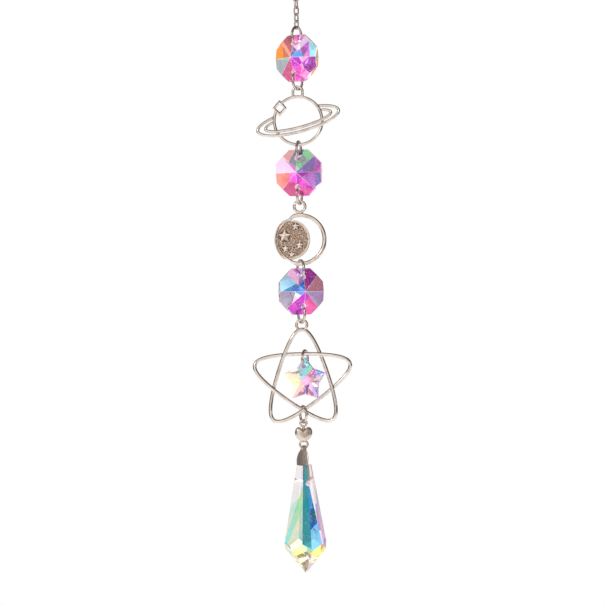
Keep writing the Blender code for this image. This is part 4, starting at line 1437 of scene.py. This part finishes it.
@dataclass
class MoonCharm:
    """The moon: a domed ring with a recessed, stippled disc on its left, raised stars and a loop."""

    antique: bpy.types.Material
    node: str = "moon_charm"
    outer_radius: float = 0.00805
    wall: float = 0.00135
    rim_width: float = 0.00122
    thin_rim_width: float = 0.0005
    rim_thickness: float = 0.0014
    rim_fullness: float = 0.8
    loop_rise: float = 0.00185
    loop_inner_radius: float = 0.0012
    loop_wire: float = 0.0009
    disc_offset: float = 0.0031
    disc_radius: float = 0.0061
    disc_thickness: float = 0.0009
    edge_width: float = 0.0006
    star_rise: float = 0.00022
    stars: tuple[tuple[float, float, float], ...] = (
        (-0.0013, 0.0039, 0.00122),
        (-0.0047, 0.0010, 0.00190),
        (-0.0002, -0.0018, 0.00118),
        (-0.0044, -0.0028, 0.00112),
        (-0.0026, -0.0045, 0.00095),
    )
    stipple_depth: float = 0.00008
    # Within this share of each star's reach the disc's front takes the higher mark, a painted shadow round
    # the star.
    star_shadow_reach: float = 0.92
    star_shadow_mark: float = 2.7
    stipple_size: float = 0.00036
    stipple_steepness: float = 1.6
    narrow_half_turn: float = radians(62)
    narrow_ease: float = radians(14)
    section_sides: int = 32
    edge_sides: int = 12
    outline_steps: int = 160
    loop_steps: int = 72
    sharp_angle: float = radians(40)
    skin: float = 0.00002
    voxel: float = 0.00010
    melt_rounds: int = 2

    def rim_section(self, width: float) -> list[tuple[float, float]]:
        """Section of the ring, domed front and back.

        Args:
            width: How wide the ring is here, from its outside inwards.

        Returns:
            The corners, around the middle of the CAD wall.
        """
        half_width, half_depth = width / 2, self.rim_thickness / 2 - self.skin
        middle = self.wall / 2 - self.skin - half_width
        turns = [tau * step / self.section_sides for step in range(self.section_sides)]
        return [
            (middle + copysign(half_width * abs(cos(turn)) ** self.rim_fullness, cos(turn)),
             copysign(half_depth * abs(sin(turn)) ** self.rim_fullness, sin(turn)))
            for turn in turns
        ]

    def rim_width_at(self, turn: float) -> float:
        """How wide the ring is at a turn: narrow where the disc meets it, on its left."""
        share = min(1.0, max(0.0, (abs(turn - pi) - self.narrow_half_turn) / self.narrow_ease))
        return self.thin_rim_width + (self.rim_width - self.thin_rim_width) * share

    def disc_outline(self) -> list[tuple[float, float]]:
        """Draws the disc's outline, cut close inside the ring's outer edge.

        Returns:
            The corners as (x, z).
        """
        limit = self.outer_radius - self.thin_rim_width / 2
        corners = []
        for step in range(self.outline_steps):
            turn = tau * step / self.outline_steps
            x = self.disc_radius * cos(turn) - self.disc_offset
            z = self.disc_radius * sin(turn)
            shrink = min(1.0, limit / sqrt(x * x + z * z))
            corners.append((x * shrink, z * shrink))
        return corners

    def star_outline(self, x: float, z: float, reach: float) -> list[tuple[float, float]]:
        """Corners of a small star with one tip up.

        Args:
            x: Its centre.
            z: Its centre.
            reach: Centre to tip.

        Returns:
            The corners.
        """
        corners = []
        for corner in range(STAR_CORNERS):
            turn = pi / 2 + tau * corner / STAR_CORNERS
            far = reach / 2 if corner % 2 else reach
            corners.append((x + far * cos(turn), z + far * sin(turn)))
        return corners

    def stipple(self, moon: bpy.types.Object) -> None:
        """Beats small dents into the disc's recess and marks the recessed disc for its stain, with a painted
        shadow round the raised stars.

        Args:
            moon: The casting in its own frame.
        """
        recess = self.disc_thickness / 2
        inside = self.disc_radius - self.edge_width
        limit = self.outer_radius - self.thin_rim_width
        middle = Vector((-self.disc_offset, 0, 0))
        stain_and_shadow = moon.data.attributes.new(STAIN_AND_SHADOW, "FLOAT", "POINT")
        for vertex in moon.data.vertices:
            flat = Vector((vertex.co.x, 0, vertex.co.z))
            in_disc = (flat - middle).length < inside and flat.length < limit
            if in_disc and abs(vertex.co.y) < recess + self.voxel:
                in_star_shadow = any(
                    sqrt((flat.x - x) ** 2 + (flat.z - z) ** 2) < self.star_shadow_reach * reach
                    for x, z, reach in self.stars
                )
                # Painted shadow on the disc's front round the raised stars; elsewhere the mark of the stain.
                stain_and_shadow.data[vertex.index].value = self.star_shadow_mark if in_star_shadow and vertex.co.y < 0 else 1.0
                cell = noise.voronoi(vertex.co / self.stipple_size)[0][0]
                depth = self.stipple_depth * (1 - min(1.0, self.stipple_steepness * cell))
                vertex.co.y += depth if vertex.co.y < 0 else -depth
        moon.data.update()

    def add_star(self, builder: bmesh.types.BMesh, x: float, z: float, reach: float) -> None:
        """Adds a small star that rises to a point over its middle.

        Args:
            builder: The bmesh that takes the star.
            x: Its centre.
            z: Its centre.
            reach: Centre to tip.
        """
        surface = self.disc_thickness / 2
        outline = self.star_outline(x, z, reach)
        depths = (surface / 2, surface + self.star_rise / 2)
        rows = [[builder.verts.new((x, -depth, z)) for x, z in outline] for depth in depths]
        peak = builder.verts.new((x, -surface - self.star_rise, z))
        for index in range(len(outline)):
            following = (index + 1) % len(outline)
            builder.faces.new((rows[0][index], rows[0][following], rows[1][following], rows[1][index]))
            builder.faces.new((rows[1][index], rows[1][following], peak))
        builder.faces.new(rows[0])

    def build(self) -> None:
        """Makes the charm as one casting with crisp stars."""
        builder = bmesh.new()
        middle = self.outer_radius - self.wall / 2
        steps = self.outline_steps
        points = arc(Vector(), ACROSS, UP, middle, 0, tau, steps)[:-1]
        widths = [self.rim_width_at(tau * step / steps) for step in range(steps)]
        sweep(builder, points, [self.rim_section(width) for width in widths], AWAY, True)
        half_disc = self.disc_thickness / 2
        add_plate(builder, self.disc_outline(), -half_disc, half_disc)
        edge_radius = self.disc_radius - self.edge_width / 2
        edge = arc(-ACROSS * self.disc_offset, ACROSS, UP, edge_radius, 0, tau, steps)
        kept = [point for point in edge[:-1] if point.length < middle]
        start = next(index for index, point in enumerate(kept) if point.z < 0)
        kept = kept[start:] + kept[:start]
        add_tube(builder, kept, self.edge_width / 2, closed=False, sides=self.edge_sides)
        loop_centre = UP * (self.outer_radius + self.loop_rise)
        loop_radius = self.loop_inner_radius + self.loop_wire / 2
        add_loop(builder, loop_centre, loop_radius, self.loop_wire / 2 - self.skin, self.loop_steps)
        moon = melt(from_builder(f"{self.node}_casting", builder), self.voxel, self.melt_rounds)
        self.stipple(moon)
        casting_faces = len(moon.data.polygons)
        crisp = bmesh.new()
        crisp.from_mesh(moon.data)
        stars = bmesh.new()
        for x, z, reach in self.stars:
            self.add_star(stars, x, z, reach)
        face_outwards(stars)
        raised = bpy.data.meshes.new("raised stars")
        stars.to_mesh(raised)
        stars.free()
        crisp.from_mesh(raised)
        crisp.to_mesh(moon.data)
        crisp.free()
        bpy.data.meshes.remove(raised)
        moon.data.shade_smooth()
        moon.data.set_sharp_from_angle(angle=self.sharp_angle)
        for polygon in moon.data.polygons[casting_faces:]:
            polygon.use_smooth = False
        _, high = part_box(self.node)
        top = self.outer_radius + self.loop_rise + self.loop_inner_radius + self.loop_wire
        seat(moon, Matrix.Translation((0, 0, high.z - top)))
        install(moon, Slot.ANTIQUE, self.antique, self.node)


@dataclass
class StarFrame:
    """The woven frame: one strand that crosses over and under itself through five lobes, with its loop."""

    silver: bpy.types.Material
    node: str = "star_frame"
    tip_radius: float = 0.0151
    strand_distance: float = 0.0077
    strand: float = 0.00118
    weave: float = 0.00036
    loop_rise: float = 0.0013
    loop_inner_radius: float = 0.00115
    loop_wire: float = 0.00088
    points: int = 400
    sides: int = 20
    skin: float = 0.00002
    voxel: float = 0.00013
    melt_rounds: int = 3
    loop_steps: int = 72

    def tree(self) -> bpy.types.NodeTree:
        """Draws the strand from its formula.

        Returns:
            The tree.
        """
        lengths = ("Tip Radius", "Strand Distance", "Weave", "Wire Radius")
        tree, sheet, inputs = WireTree.start("five-lobed strand", lengths, ("Points",))
        circle = sheet.add("GeometryNodeCurvePrimitiveCircle", {}, {"Resolution": inputs["Points"]})
        turn = sheet.add("GeometryNodeInputIndex") * tau / inputs["Points"]
        near = (inputs["Tip Radius"] + inputs["Strand Distance"]) / 2
        far = (inputs["Tip Radius"] - inputs["Strand Distance"]) / 2
        across = near * (turn * 2).sine() - far * (turn * 3).sine()
        rise = near * (turn * 2).cosine() + far * (turn * 3).cosine()
        depth = inputs["Weave"] * (turn * 5).sine()
        spot = sheet.add("ShaderNodeCombineXYZ", {}, {"X": across, "Y": depth, "Z": rise})
        path = sheet.add("GeometryNodeSetPosition", {}, {"Geometry": circle, "Position": spot})
        wire = WireTree.draw(sheet, path, inputs["Wire Radius"], self.sides)
        WireTree.close(sheet, wire, inputs["Finish"])
        return tree

    def build(self) -> None:
        """Makes the frame as one casting."""
        sizes = {
            "Points": self.points, "Tip Radius": self.tip_radius, "Strand Distance": self.strand_distance,
            "Weave": self.weave, "Wire Radius": self.strand / 2 - self.skin,
        }
        strand = WireTree.grow("strand", self.tree(), sizes, self.silver)
        builder = bmesh.new()
        builder.from_mesh(strand.data)
        bpy.data.objects.remove(strand, do_unlink=True)
        loop_centre = UP * (self.tip_radius + self.loop_rise)
        loop_radius = self.loop_inner_radius + self.loop_wire / 2
        add_loop(builder, loop_centre, loop_radius, self.loop_wire / 2 - self.skin, self.loop_steps)
        casting = melt(from_builder(f"{self.node}_casting", builder), self.voxel, self.melt_rounds)
        _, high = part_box(self.node)
        top = self.tip_radius + self.loop_rise + self.loop_inner_radius + self.loop_wire
        seat(casting, Matrix.Translation((0, 0, high.z - top)))
        install(casting, Slot.SILVER, self.silver, self.node)


@dataclass
class HeartLink:
    """The puffed heart with a loop above its notch and a wider loop below its point."""

    silver: bpy.types.Material
    node: str = "heart_link"
    width: float = 0.0053
    height: float = 0.0046
    depth: float = 0.0024
    loop_rise: float = 0.0012
    loop_drop: float = 0.0007
    loop_wire: float = 0.00065
    neck_wire: float = 0.00078
    top_loop_inner_radius: float = 0.00062
    lower_loop_inner_radius: float = 0.00085
    turn: float = radians(6)
    fullness: float = 0.66
    lobe_lift: float = 1.14
    notch_kept: float = 0.45
    curve_shift: float = 2.5
    curve_reach: float = 14.5
    roundness: float = 0.6
    steps: int = 96
    layers: int = 25
    loop_steps: int = 64
    voxel: float = 0.00006
    melt_rounds: int = 3

    def corner(self, turn: float) -> tuple[float, float]:
        """Finds a point of the heart's outline: the heart curve, filled out towards a circle.

        Args:
            turn: The curve's own angle, 0 at the notch.

        Returns:
            The point as (x, z).
        """
        wave = 13 * cos(turn) - 5 * cos(2 * turn) - 2 * cos(3 * turn) - cos(4 * turn)
        rise = (wave + self.curve_shift) / self.curve_reach
        rise += (cos(turn) - rise) * self.fullness * (1 - self.notch_kept * cos(turn)) / (1 + self.notch_kept)
        rise *= 1.0 if rise < 0 else self.lobe_lift
        across = sin(turn) ** 3 + (sin(turn) - sin(turn) ** 3) * self.fullness
        return across * self.width / 2, rise * self.height / 2

    def puff(self, builder: bmesh.types.BMesh) -> None:
        """Adds the heart's body: shrunken copies of its outline, each further forward or back.

        Args:
            builder: The bmesh that takes the body.
        """
        outline = [self.corner(tau * step / self.steps) for step in range(self.steps)]
        rings = []
        for layer in range(1, self.layers):
            turn = -pi / 2 + pi * layer / self.layers
            shrink, depth = cos(turn) ** self.roundness, self.depth / 2 * sin(turn)
            rings.append([builder.verts.new((x * shrink, depth, z * shrink)) for x, z in outline])
        for near, far in zip(rings, rings[1:]):
            join_rings(builder, near, far)
        builder.faces.new(rings[0])
        builder.faces.new(rings[-1])

    def build(self) -> None:
        """Makes the link as one casting."""
        builder = bmesh.new()
        self.puff(builder)
        top_centre = UP * (self.height / 2 + self.loop_rise)
        low_centre = -UP * (self.height / 2 + self.loop_drop)
        loops = ((top_centre, self.top_loop_inner_radius), (low_centre, self.lower_loop_inner_radius))
        for centre, inner in loops:
            add_loop(builder, centre, inner + self.loop_wire / 2, self.loop_wire / 2, self.loop_steps)
        notch = UP * self.corner(0)[1]
        collar = top_centre - UP * (self.top_loop_inner_radius + self.loop_wire / 2)
        add_tube(builder, [notch - UP * self.loop_wire, collar], self.neck_wire / 2, closed=False)
        heart = melt(from_builder(f"{self.node}_casting", builder), self.voxel, self.melt_rounds)
        _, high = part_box(self.node)
        top = self.height / 2 + self.loop_rise + self.top_loop_inner_radius + self.loop_wire
        seat(heart, turned(self.turn, Vector((0, 0, high.z - top))))
        install(heart, Slot.SILVER, self.silver, self.node)


@dataclass
class PinchBail:
    """The bail: one folded strip with two crowned leaves, two legs and two prongs in the drop's bore."""

    brushed: bpy.types.Material
    drop: CrystalDrop
    node: str = "pinch_bail"
    sheet: float = 0.0005
    fold_radius: float = 0.0005
    fold_width: float = 0.0009
    leaf_width: float = 0.0035
    leaf_sidestep: float = 0.0016
    back_sidestep: float = 0.0007
    leg_width: float = 0.0007
    leaf_length: float = 0.0048
    leg_length: float = 0.0100
    prong_gap: float = 0.0020
    corner_radius: float = 0.0006
    neck: float = 0.0004
    crown: float = 0.00018
    contact: float = 0.00008
    leaf_steps: int = 12
    leg_steps: int = 8
    bend_steps: int = 6
    fold_degrees: int = 15
    ribs: int = 10
    round_over: float = 0.00012
    round_segments: int = 3
    sharp_angle: float = radians(50)

    def stations(self) -> list[tuple[float, float, float, float]]:
        """Follows the front half of the strip from its fold to its prong.

        Returns:
            Places on the way, as (forward, height, width, sidestep).
        """
        fold = self.fold_radius + self.sheet / 2
        at_top = self.drop.apothem(0) + 2 * self.contact + self.sheet
        at_bore = self.drop.apothem(self.drop.bore_depth) + 2 * self.contact + self.sheet
        found = []
        for step in range(self.leaf_steps + 1):
            share = step / self.leaf_steps
            shoulder = sin(share * pi / 2) ** 0.5
            width = self.fold_width + (self.leaf_width - self.fold_width) * shoulder
            forward = fold + (at_top - fold) * share
            found.append((forward, -self.leaf_length * share, width, self.leaf_sidestep * shoulder))
        leg_top = self.leaf_length + self.neck
        leg_bottom = self.leg_length - self.corner_radius
        for step in range(self.leg_steps + 1):
            height = leg_top + (leg_bottom - leg_top) * step / self.leg_steps
            depth = (height - self.leaf_length) / (leg_bottom - self.leaf_length)
            found.append((at_top + (at_bore - at_top) * depth, -height, self.leg_width, 0.0))
        for step in range(1, self.bend_steps + 1):
            turn = pi / 2 * step / self.bend_steps
            inward, down = self.corner_radius * (1 - cos(turn)), self.corner_radius * sin(turn)
            found.append((at_bore - inward, -leg_bottom - down, self.leg_width, 0.0))
        found.append((self.prong_gap / 2, -self.leg_length, self.leg_width, 0.0))
        return found

    def build(self) -> None:
        """Makes the bail."""
        side = self.stations()
        fold = self.fold_radius + self.sheet / 2
        over = [
            (fold * cos(radians(turn)), fold * sin(radians(turn)), self.fold_width, 0.0)
            for turn in range(self.fold_degrees, 180, self.fold_degrees)
        ]
        hidden = self.back_sidestep / self.leaf_sidestep
        back = [(-forward, height, width, -sidestep * hidden) for forward, height, width, sidestep in side]
        path = [*reversed(side), *over, *back]
        thick = self.sheet / 2
        ribs = [-1 + 2 * rib / self.ribs for rib in range(self.ribs + 1)]
        sections = []
        for _, _, width, sidestep in path:
            crown = self.crown * (width - self.leg_width) / (self.leaf_width - self.leg_width)
            outer = [(thick + crown * cos(rib * pi / 2), rib * width / 2 - sidestep) for rib in ribs]
            inner = [(crown * cos(rib * pi / 2) - thick, rib * width / 2 - sidestep) for rib in ribs]
            sections.append([*outer, *reversed(inner)])
        builder = bmesh.new()
        centres = [Vector((0, -forward, height)) for forward, height, _, _ in path]
        sweep(builder, centres, sections, ACROSS, False)
        bail = from_builder(f"{self.node}_strip", builder)
        rounded = bail.modifiers.new("round over", "BEVEL")
        rounded.width = self.round_over
        rounded.segments = self.round_segments
        rounded.limit_method = "ANGLE"
        rounded.angle_limit = self.sharp_angle
        bail = bake(bail)
        bail.data.shade_smooth()
        bail.data.set_sharp_from_angle(angle=self.sharp_angle)
        _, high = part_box(self.node)
        seat(bail, turned(self.drop.turn, Vector((0, 0, high.z - self.fold_radius - self.sheet))))
        install(bail, Slot.SILVER, self.brushed, self.node)


@dataclass
class Studio:
    """Camera, pale floor, soft boxes and the surrounding light."""

    frame_height: float = 0.1827
    lens: float = 135.0
    sensor: float = 36.0
    below_top_bead: float = 0.07378
    sideways: float = 0.00035
    roll: float = radians(-1.0)
    floor_depth: float = 0.30
    floor_radius: float = 0.62
    floor_sides: int = 128
    light_paths: int = 24
    backdrop: Colour = (1.0, 1.0, 1.0)
    diffuse_light: Colour = (1.2, 1.19, 1.18)
    through_side: tuple[float, float, float] = (0.35, 0.75, 0.55)
    through_tones: tuple[tuple[float, Colour], ...] = (
        (0.0, (1.04, 1.03, 1.06)), (0.35, (1.12, 1.11, 1.14)), (0.55, (1.18, 1.18, 1.18)),
        (0.85, (1.22, 1.22, 1.22)), (0.93, (1.5, 1.5, 1.5)),
    )
    room_side: tuple[float, float, float] = (-0.55, -0.50, 0.67)
    room_tones: tuple[tuple[float, Colour], ...] = (
        (0.0, (0.045, 0.032, 0.026)), (0.38, (0.075, 0.053, 0.043)), (0.57, (0.20, 0.15, 0.122)),
        (0.70, (0.60, 0.53, 0.475)), (0.80, (1.02, 0.96, 0.90)), (0.90, (1.35, 1.30, 1.22)),
    )
    front_wall: Colour = (0.055, 0.037, 0.029)
    front_reach: Span = (-0.985, -0.62)
    front_share: float = 0.80
    back_wall: Colour = (0.62, 0.56, 0.51)
    back_reach: Span = (0.60, 0.95)
    back_share: float = 0.85

    def camera(self) -> None:
        """Stands the camera level, in front, where the photograph was taken."""
        data = bpy.data.cameras.new("camera")
        data.lens, data.sensor_width = self.lens, self.sensor
        data.clip_start, data.clip_end = 0.01, 20.0
        distance = self.frame_height / self.sensor * self.lens
        height = box_centre("octagon_bead_top").z - self.below_top_bead
        camera = bpy.data.objects.new("camera", data)
        bpy.context.scene.collection.objects.link(camera)
        upright = Matrix.Rotation(pi / 2, 4, "X") @ Matrix.Rotation(self.roll, 4, "Z")
        camera.matrix_world = Matrix.Translation((self.sideways, -distance, height)) @ upright
        bpy.context.scene.camera = camera

    def floor(self) -> None:
        """Lays a round pale floor below the suncatcher."""
        builder = bmesh.new()
        bmesh.ops.create_circle(
            builder, cap_ends=True, segments=self.floor_sides, radius=self.floor_radius
        )
        floor = from_builder("studio_floor", builder, smooth=False)
        seat(floor, Matrix.Translation((0, 0, -self.floor_depth)))
        floor.data.materials.append(FloorFinish().material())

    def soft_box(self, name: str, place: Vector, size: float, power: float, colour: Colour) -> None:
        """Hangs one soft box that faces the suncatcher's middle.

        Args:
            name: The light's name.
            place: Where it hangs.
            size: Its width.
            power: Its power in watts.
            colour: Its colour.
        """
        data = bpy.data.lights.new(name, "AREA")
        data.size, data.energy, data.color = size, power, colour
        light = bpy.data.objects.new(name, data)
        bpy.context.scene.collection.objects.link(light)
        middle = Vector((0, 0, box_centre("octagon_bead_middle").z))
        aim = (middle - place).to_track_quat("-Z", "Y").to_matrix().to_4x4()
        light.matrix_world = Matrix.Translation(place) @ aim

    def surroundings(self) -> None:
        """Lights the scene: a white backdrop, pale light through the crystals, a warm room in the metal."""
        world = bpy.data.worlds.new("studio")
        world.use_nodes = True
        bpy.context.scene.world = world
        sheet = NodeSheet(world.node_tree)
        direction = sheet.add("ShaderNodeTexCoord", output="Generated")
        through = self.tone(sheet, direction, self.through_side, self.through_tones)
        room = self.tone(sheet, direction, self.room_side, self.room_tones)
        away = sheet.add("ShaderNodeSeparateXYZ", {}, {0: direction}, output="Y")
        room = sheet.mix(away.ease(*self.front_reach) * self.front_share, room, self.front_wall)
        room = sheet.mix(away.ease(*self.back_reach) * self.back_share, room, self.back_wall)
        flags = {
            title: sheet.add("ShaderNodeLightPath", output=title)
            for title in ("Is Camera Ray", "Is Transmission Ray", "Is Diffuse Ray")
        }
        colour = sheet.mix(flags["Is Transmission Ray"], room, through)
        colour = sheet.mix(flags["Is Diffuse Ray"], colour, self.diffuse_light)
        colour = sheet.mix(flags["Is Camera Ray"], colour, self.backdrop)
        light = sheet.add("ShaderNodeBackground", {}, {"Color": colour, "Strength": 1.0})
        sheet.add("ShaderNodeOutputWorld", {}, {"Surface": light})

    @staticmethod
    def tone(sheet: NodeSheet, direction: Link, towards: tuple[float, float, float],
             stops: Sequence[tuple[float, tuple]]) -> Link:
        """Shades the surroundings from one side to the other.

        Args:
            sheet: The world's sheet.
            direction: The direction looked in.
            towards: The bright side.
            stops: Tones from the dark side, 0, to the bright side, 1.

        Returns:
            The tone.
        """
        aim = tuple(Vector(towards).normalized())
        facing = sheet.add("ShaderNodeVectorMath", {"operation": "DOT_PRODUCT"}, {0: direction, 1: aim},
                           output="Value")
        return sheet.add("ShaderNodeValToRGB", {"stops": stops}, {0: facing * 0.5 + 0.5})

    def build(self) -> None:
        """Sets up the whole studio."""
        scene = bpy.context.scene
        scene.view_settings.view_transform = "Standard"
        scene.cycles.max_bounces = self.light_paths
        scene.cycles.transmission_bounces = self.light_paths
        scene.cycles.glossy_bounces = self.light_paths
        self.camera()
        self.floor()
        self.surroundings()
        self.soft_box("key", Vector((-0.45, -0.50, 0.25)), size=0.20, power=0.55, colour=(1.0, 0.98, 0.95))
        self.soft_box("fill", Vector((0.60, -0.35, -0.05)), size=0.20, power=0.20, colour=(0.95, 0.97, 1.0))


def main() -> None:
    """Dresses every sub-assembly from the top down."""
    logging.basicConfig(level=logging.INFO, format="%(message)s")
    Studio().build()
    # The third colour of each metal is the painted shade of its inner corners; for the antique silver it is
    # also the painted shadow round the moon's raised stars.
    silver = MetalFinish(
        "bright silver", (0.92, 0.86, 0.82), (0.75, 0.67, 0.62), (0.28, 0.20, 0.17), pit_depth=0.05
    ).material()
    worn = MetalFinish(
        "worn silver", (0.82, 0.73, 0.69), (0.58, 0.48, 0.44), (0.24, 0.16, 0.13), pit_depth=0.05
    ).material()
    satin = MetalFinish(
        "satin silver", (0.84, 0.76, 0.68), (0.70, 0.60, 0.51), (0.30, 0.22, 0.17), roughness=(0.26, 0.36),
        pit_depth=0.15,
    ).material()
    brushed = MetalFinish(
        "brushed silver", (0.95, 0.90, 0.86), (0.66, 0.56, 0.51), (0.30, 0.22, 0.19),
        roughness=(0.34, 0.48), mottle_scale=1500.0, grain=(1.0, 1.0, 0.08), pit_depth=0.30,
    ).material()
    antique = MetalFinish(
        "antique silver", (0.93, 0.87, 0.82), (0.74, 0.63, 0.56), (0.20, 0.125, 0.09),
        roughness=(0.10, 0.22), pit_depth=0.2, stained=(0.33, 0.205, 0.13),
    ).material()
    drop = CrystalDrop()
    for assembly in (
        Chain(worn), JumpRings(worn), OctagonBead(), PlanetCharm(silver), MoonCharm(antique),
        StarFrame(silver), CrystalStar(), HeartLink(satin), PinchBail(brushed, drop), drop,
    ):
        LOG.info("building %s", type(assembly).__name__)
        assembly.build()


if __name__ == "__main__":
    main()
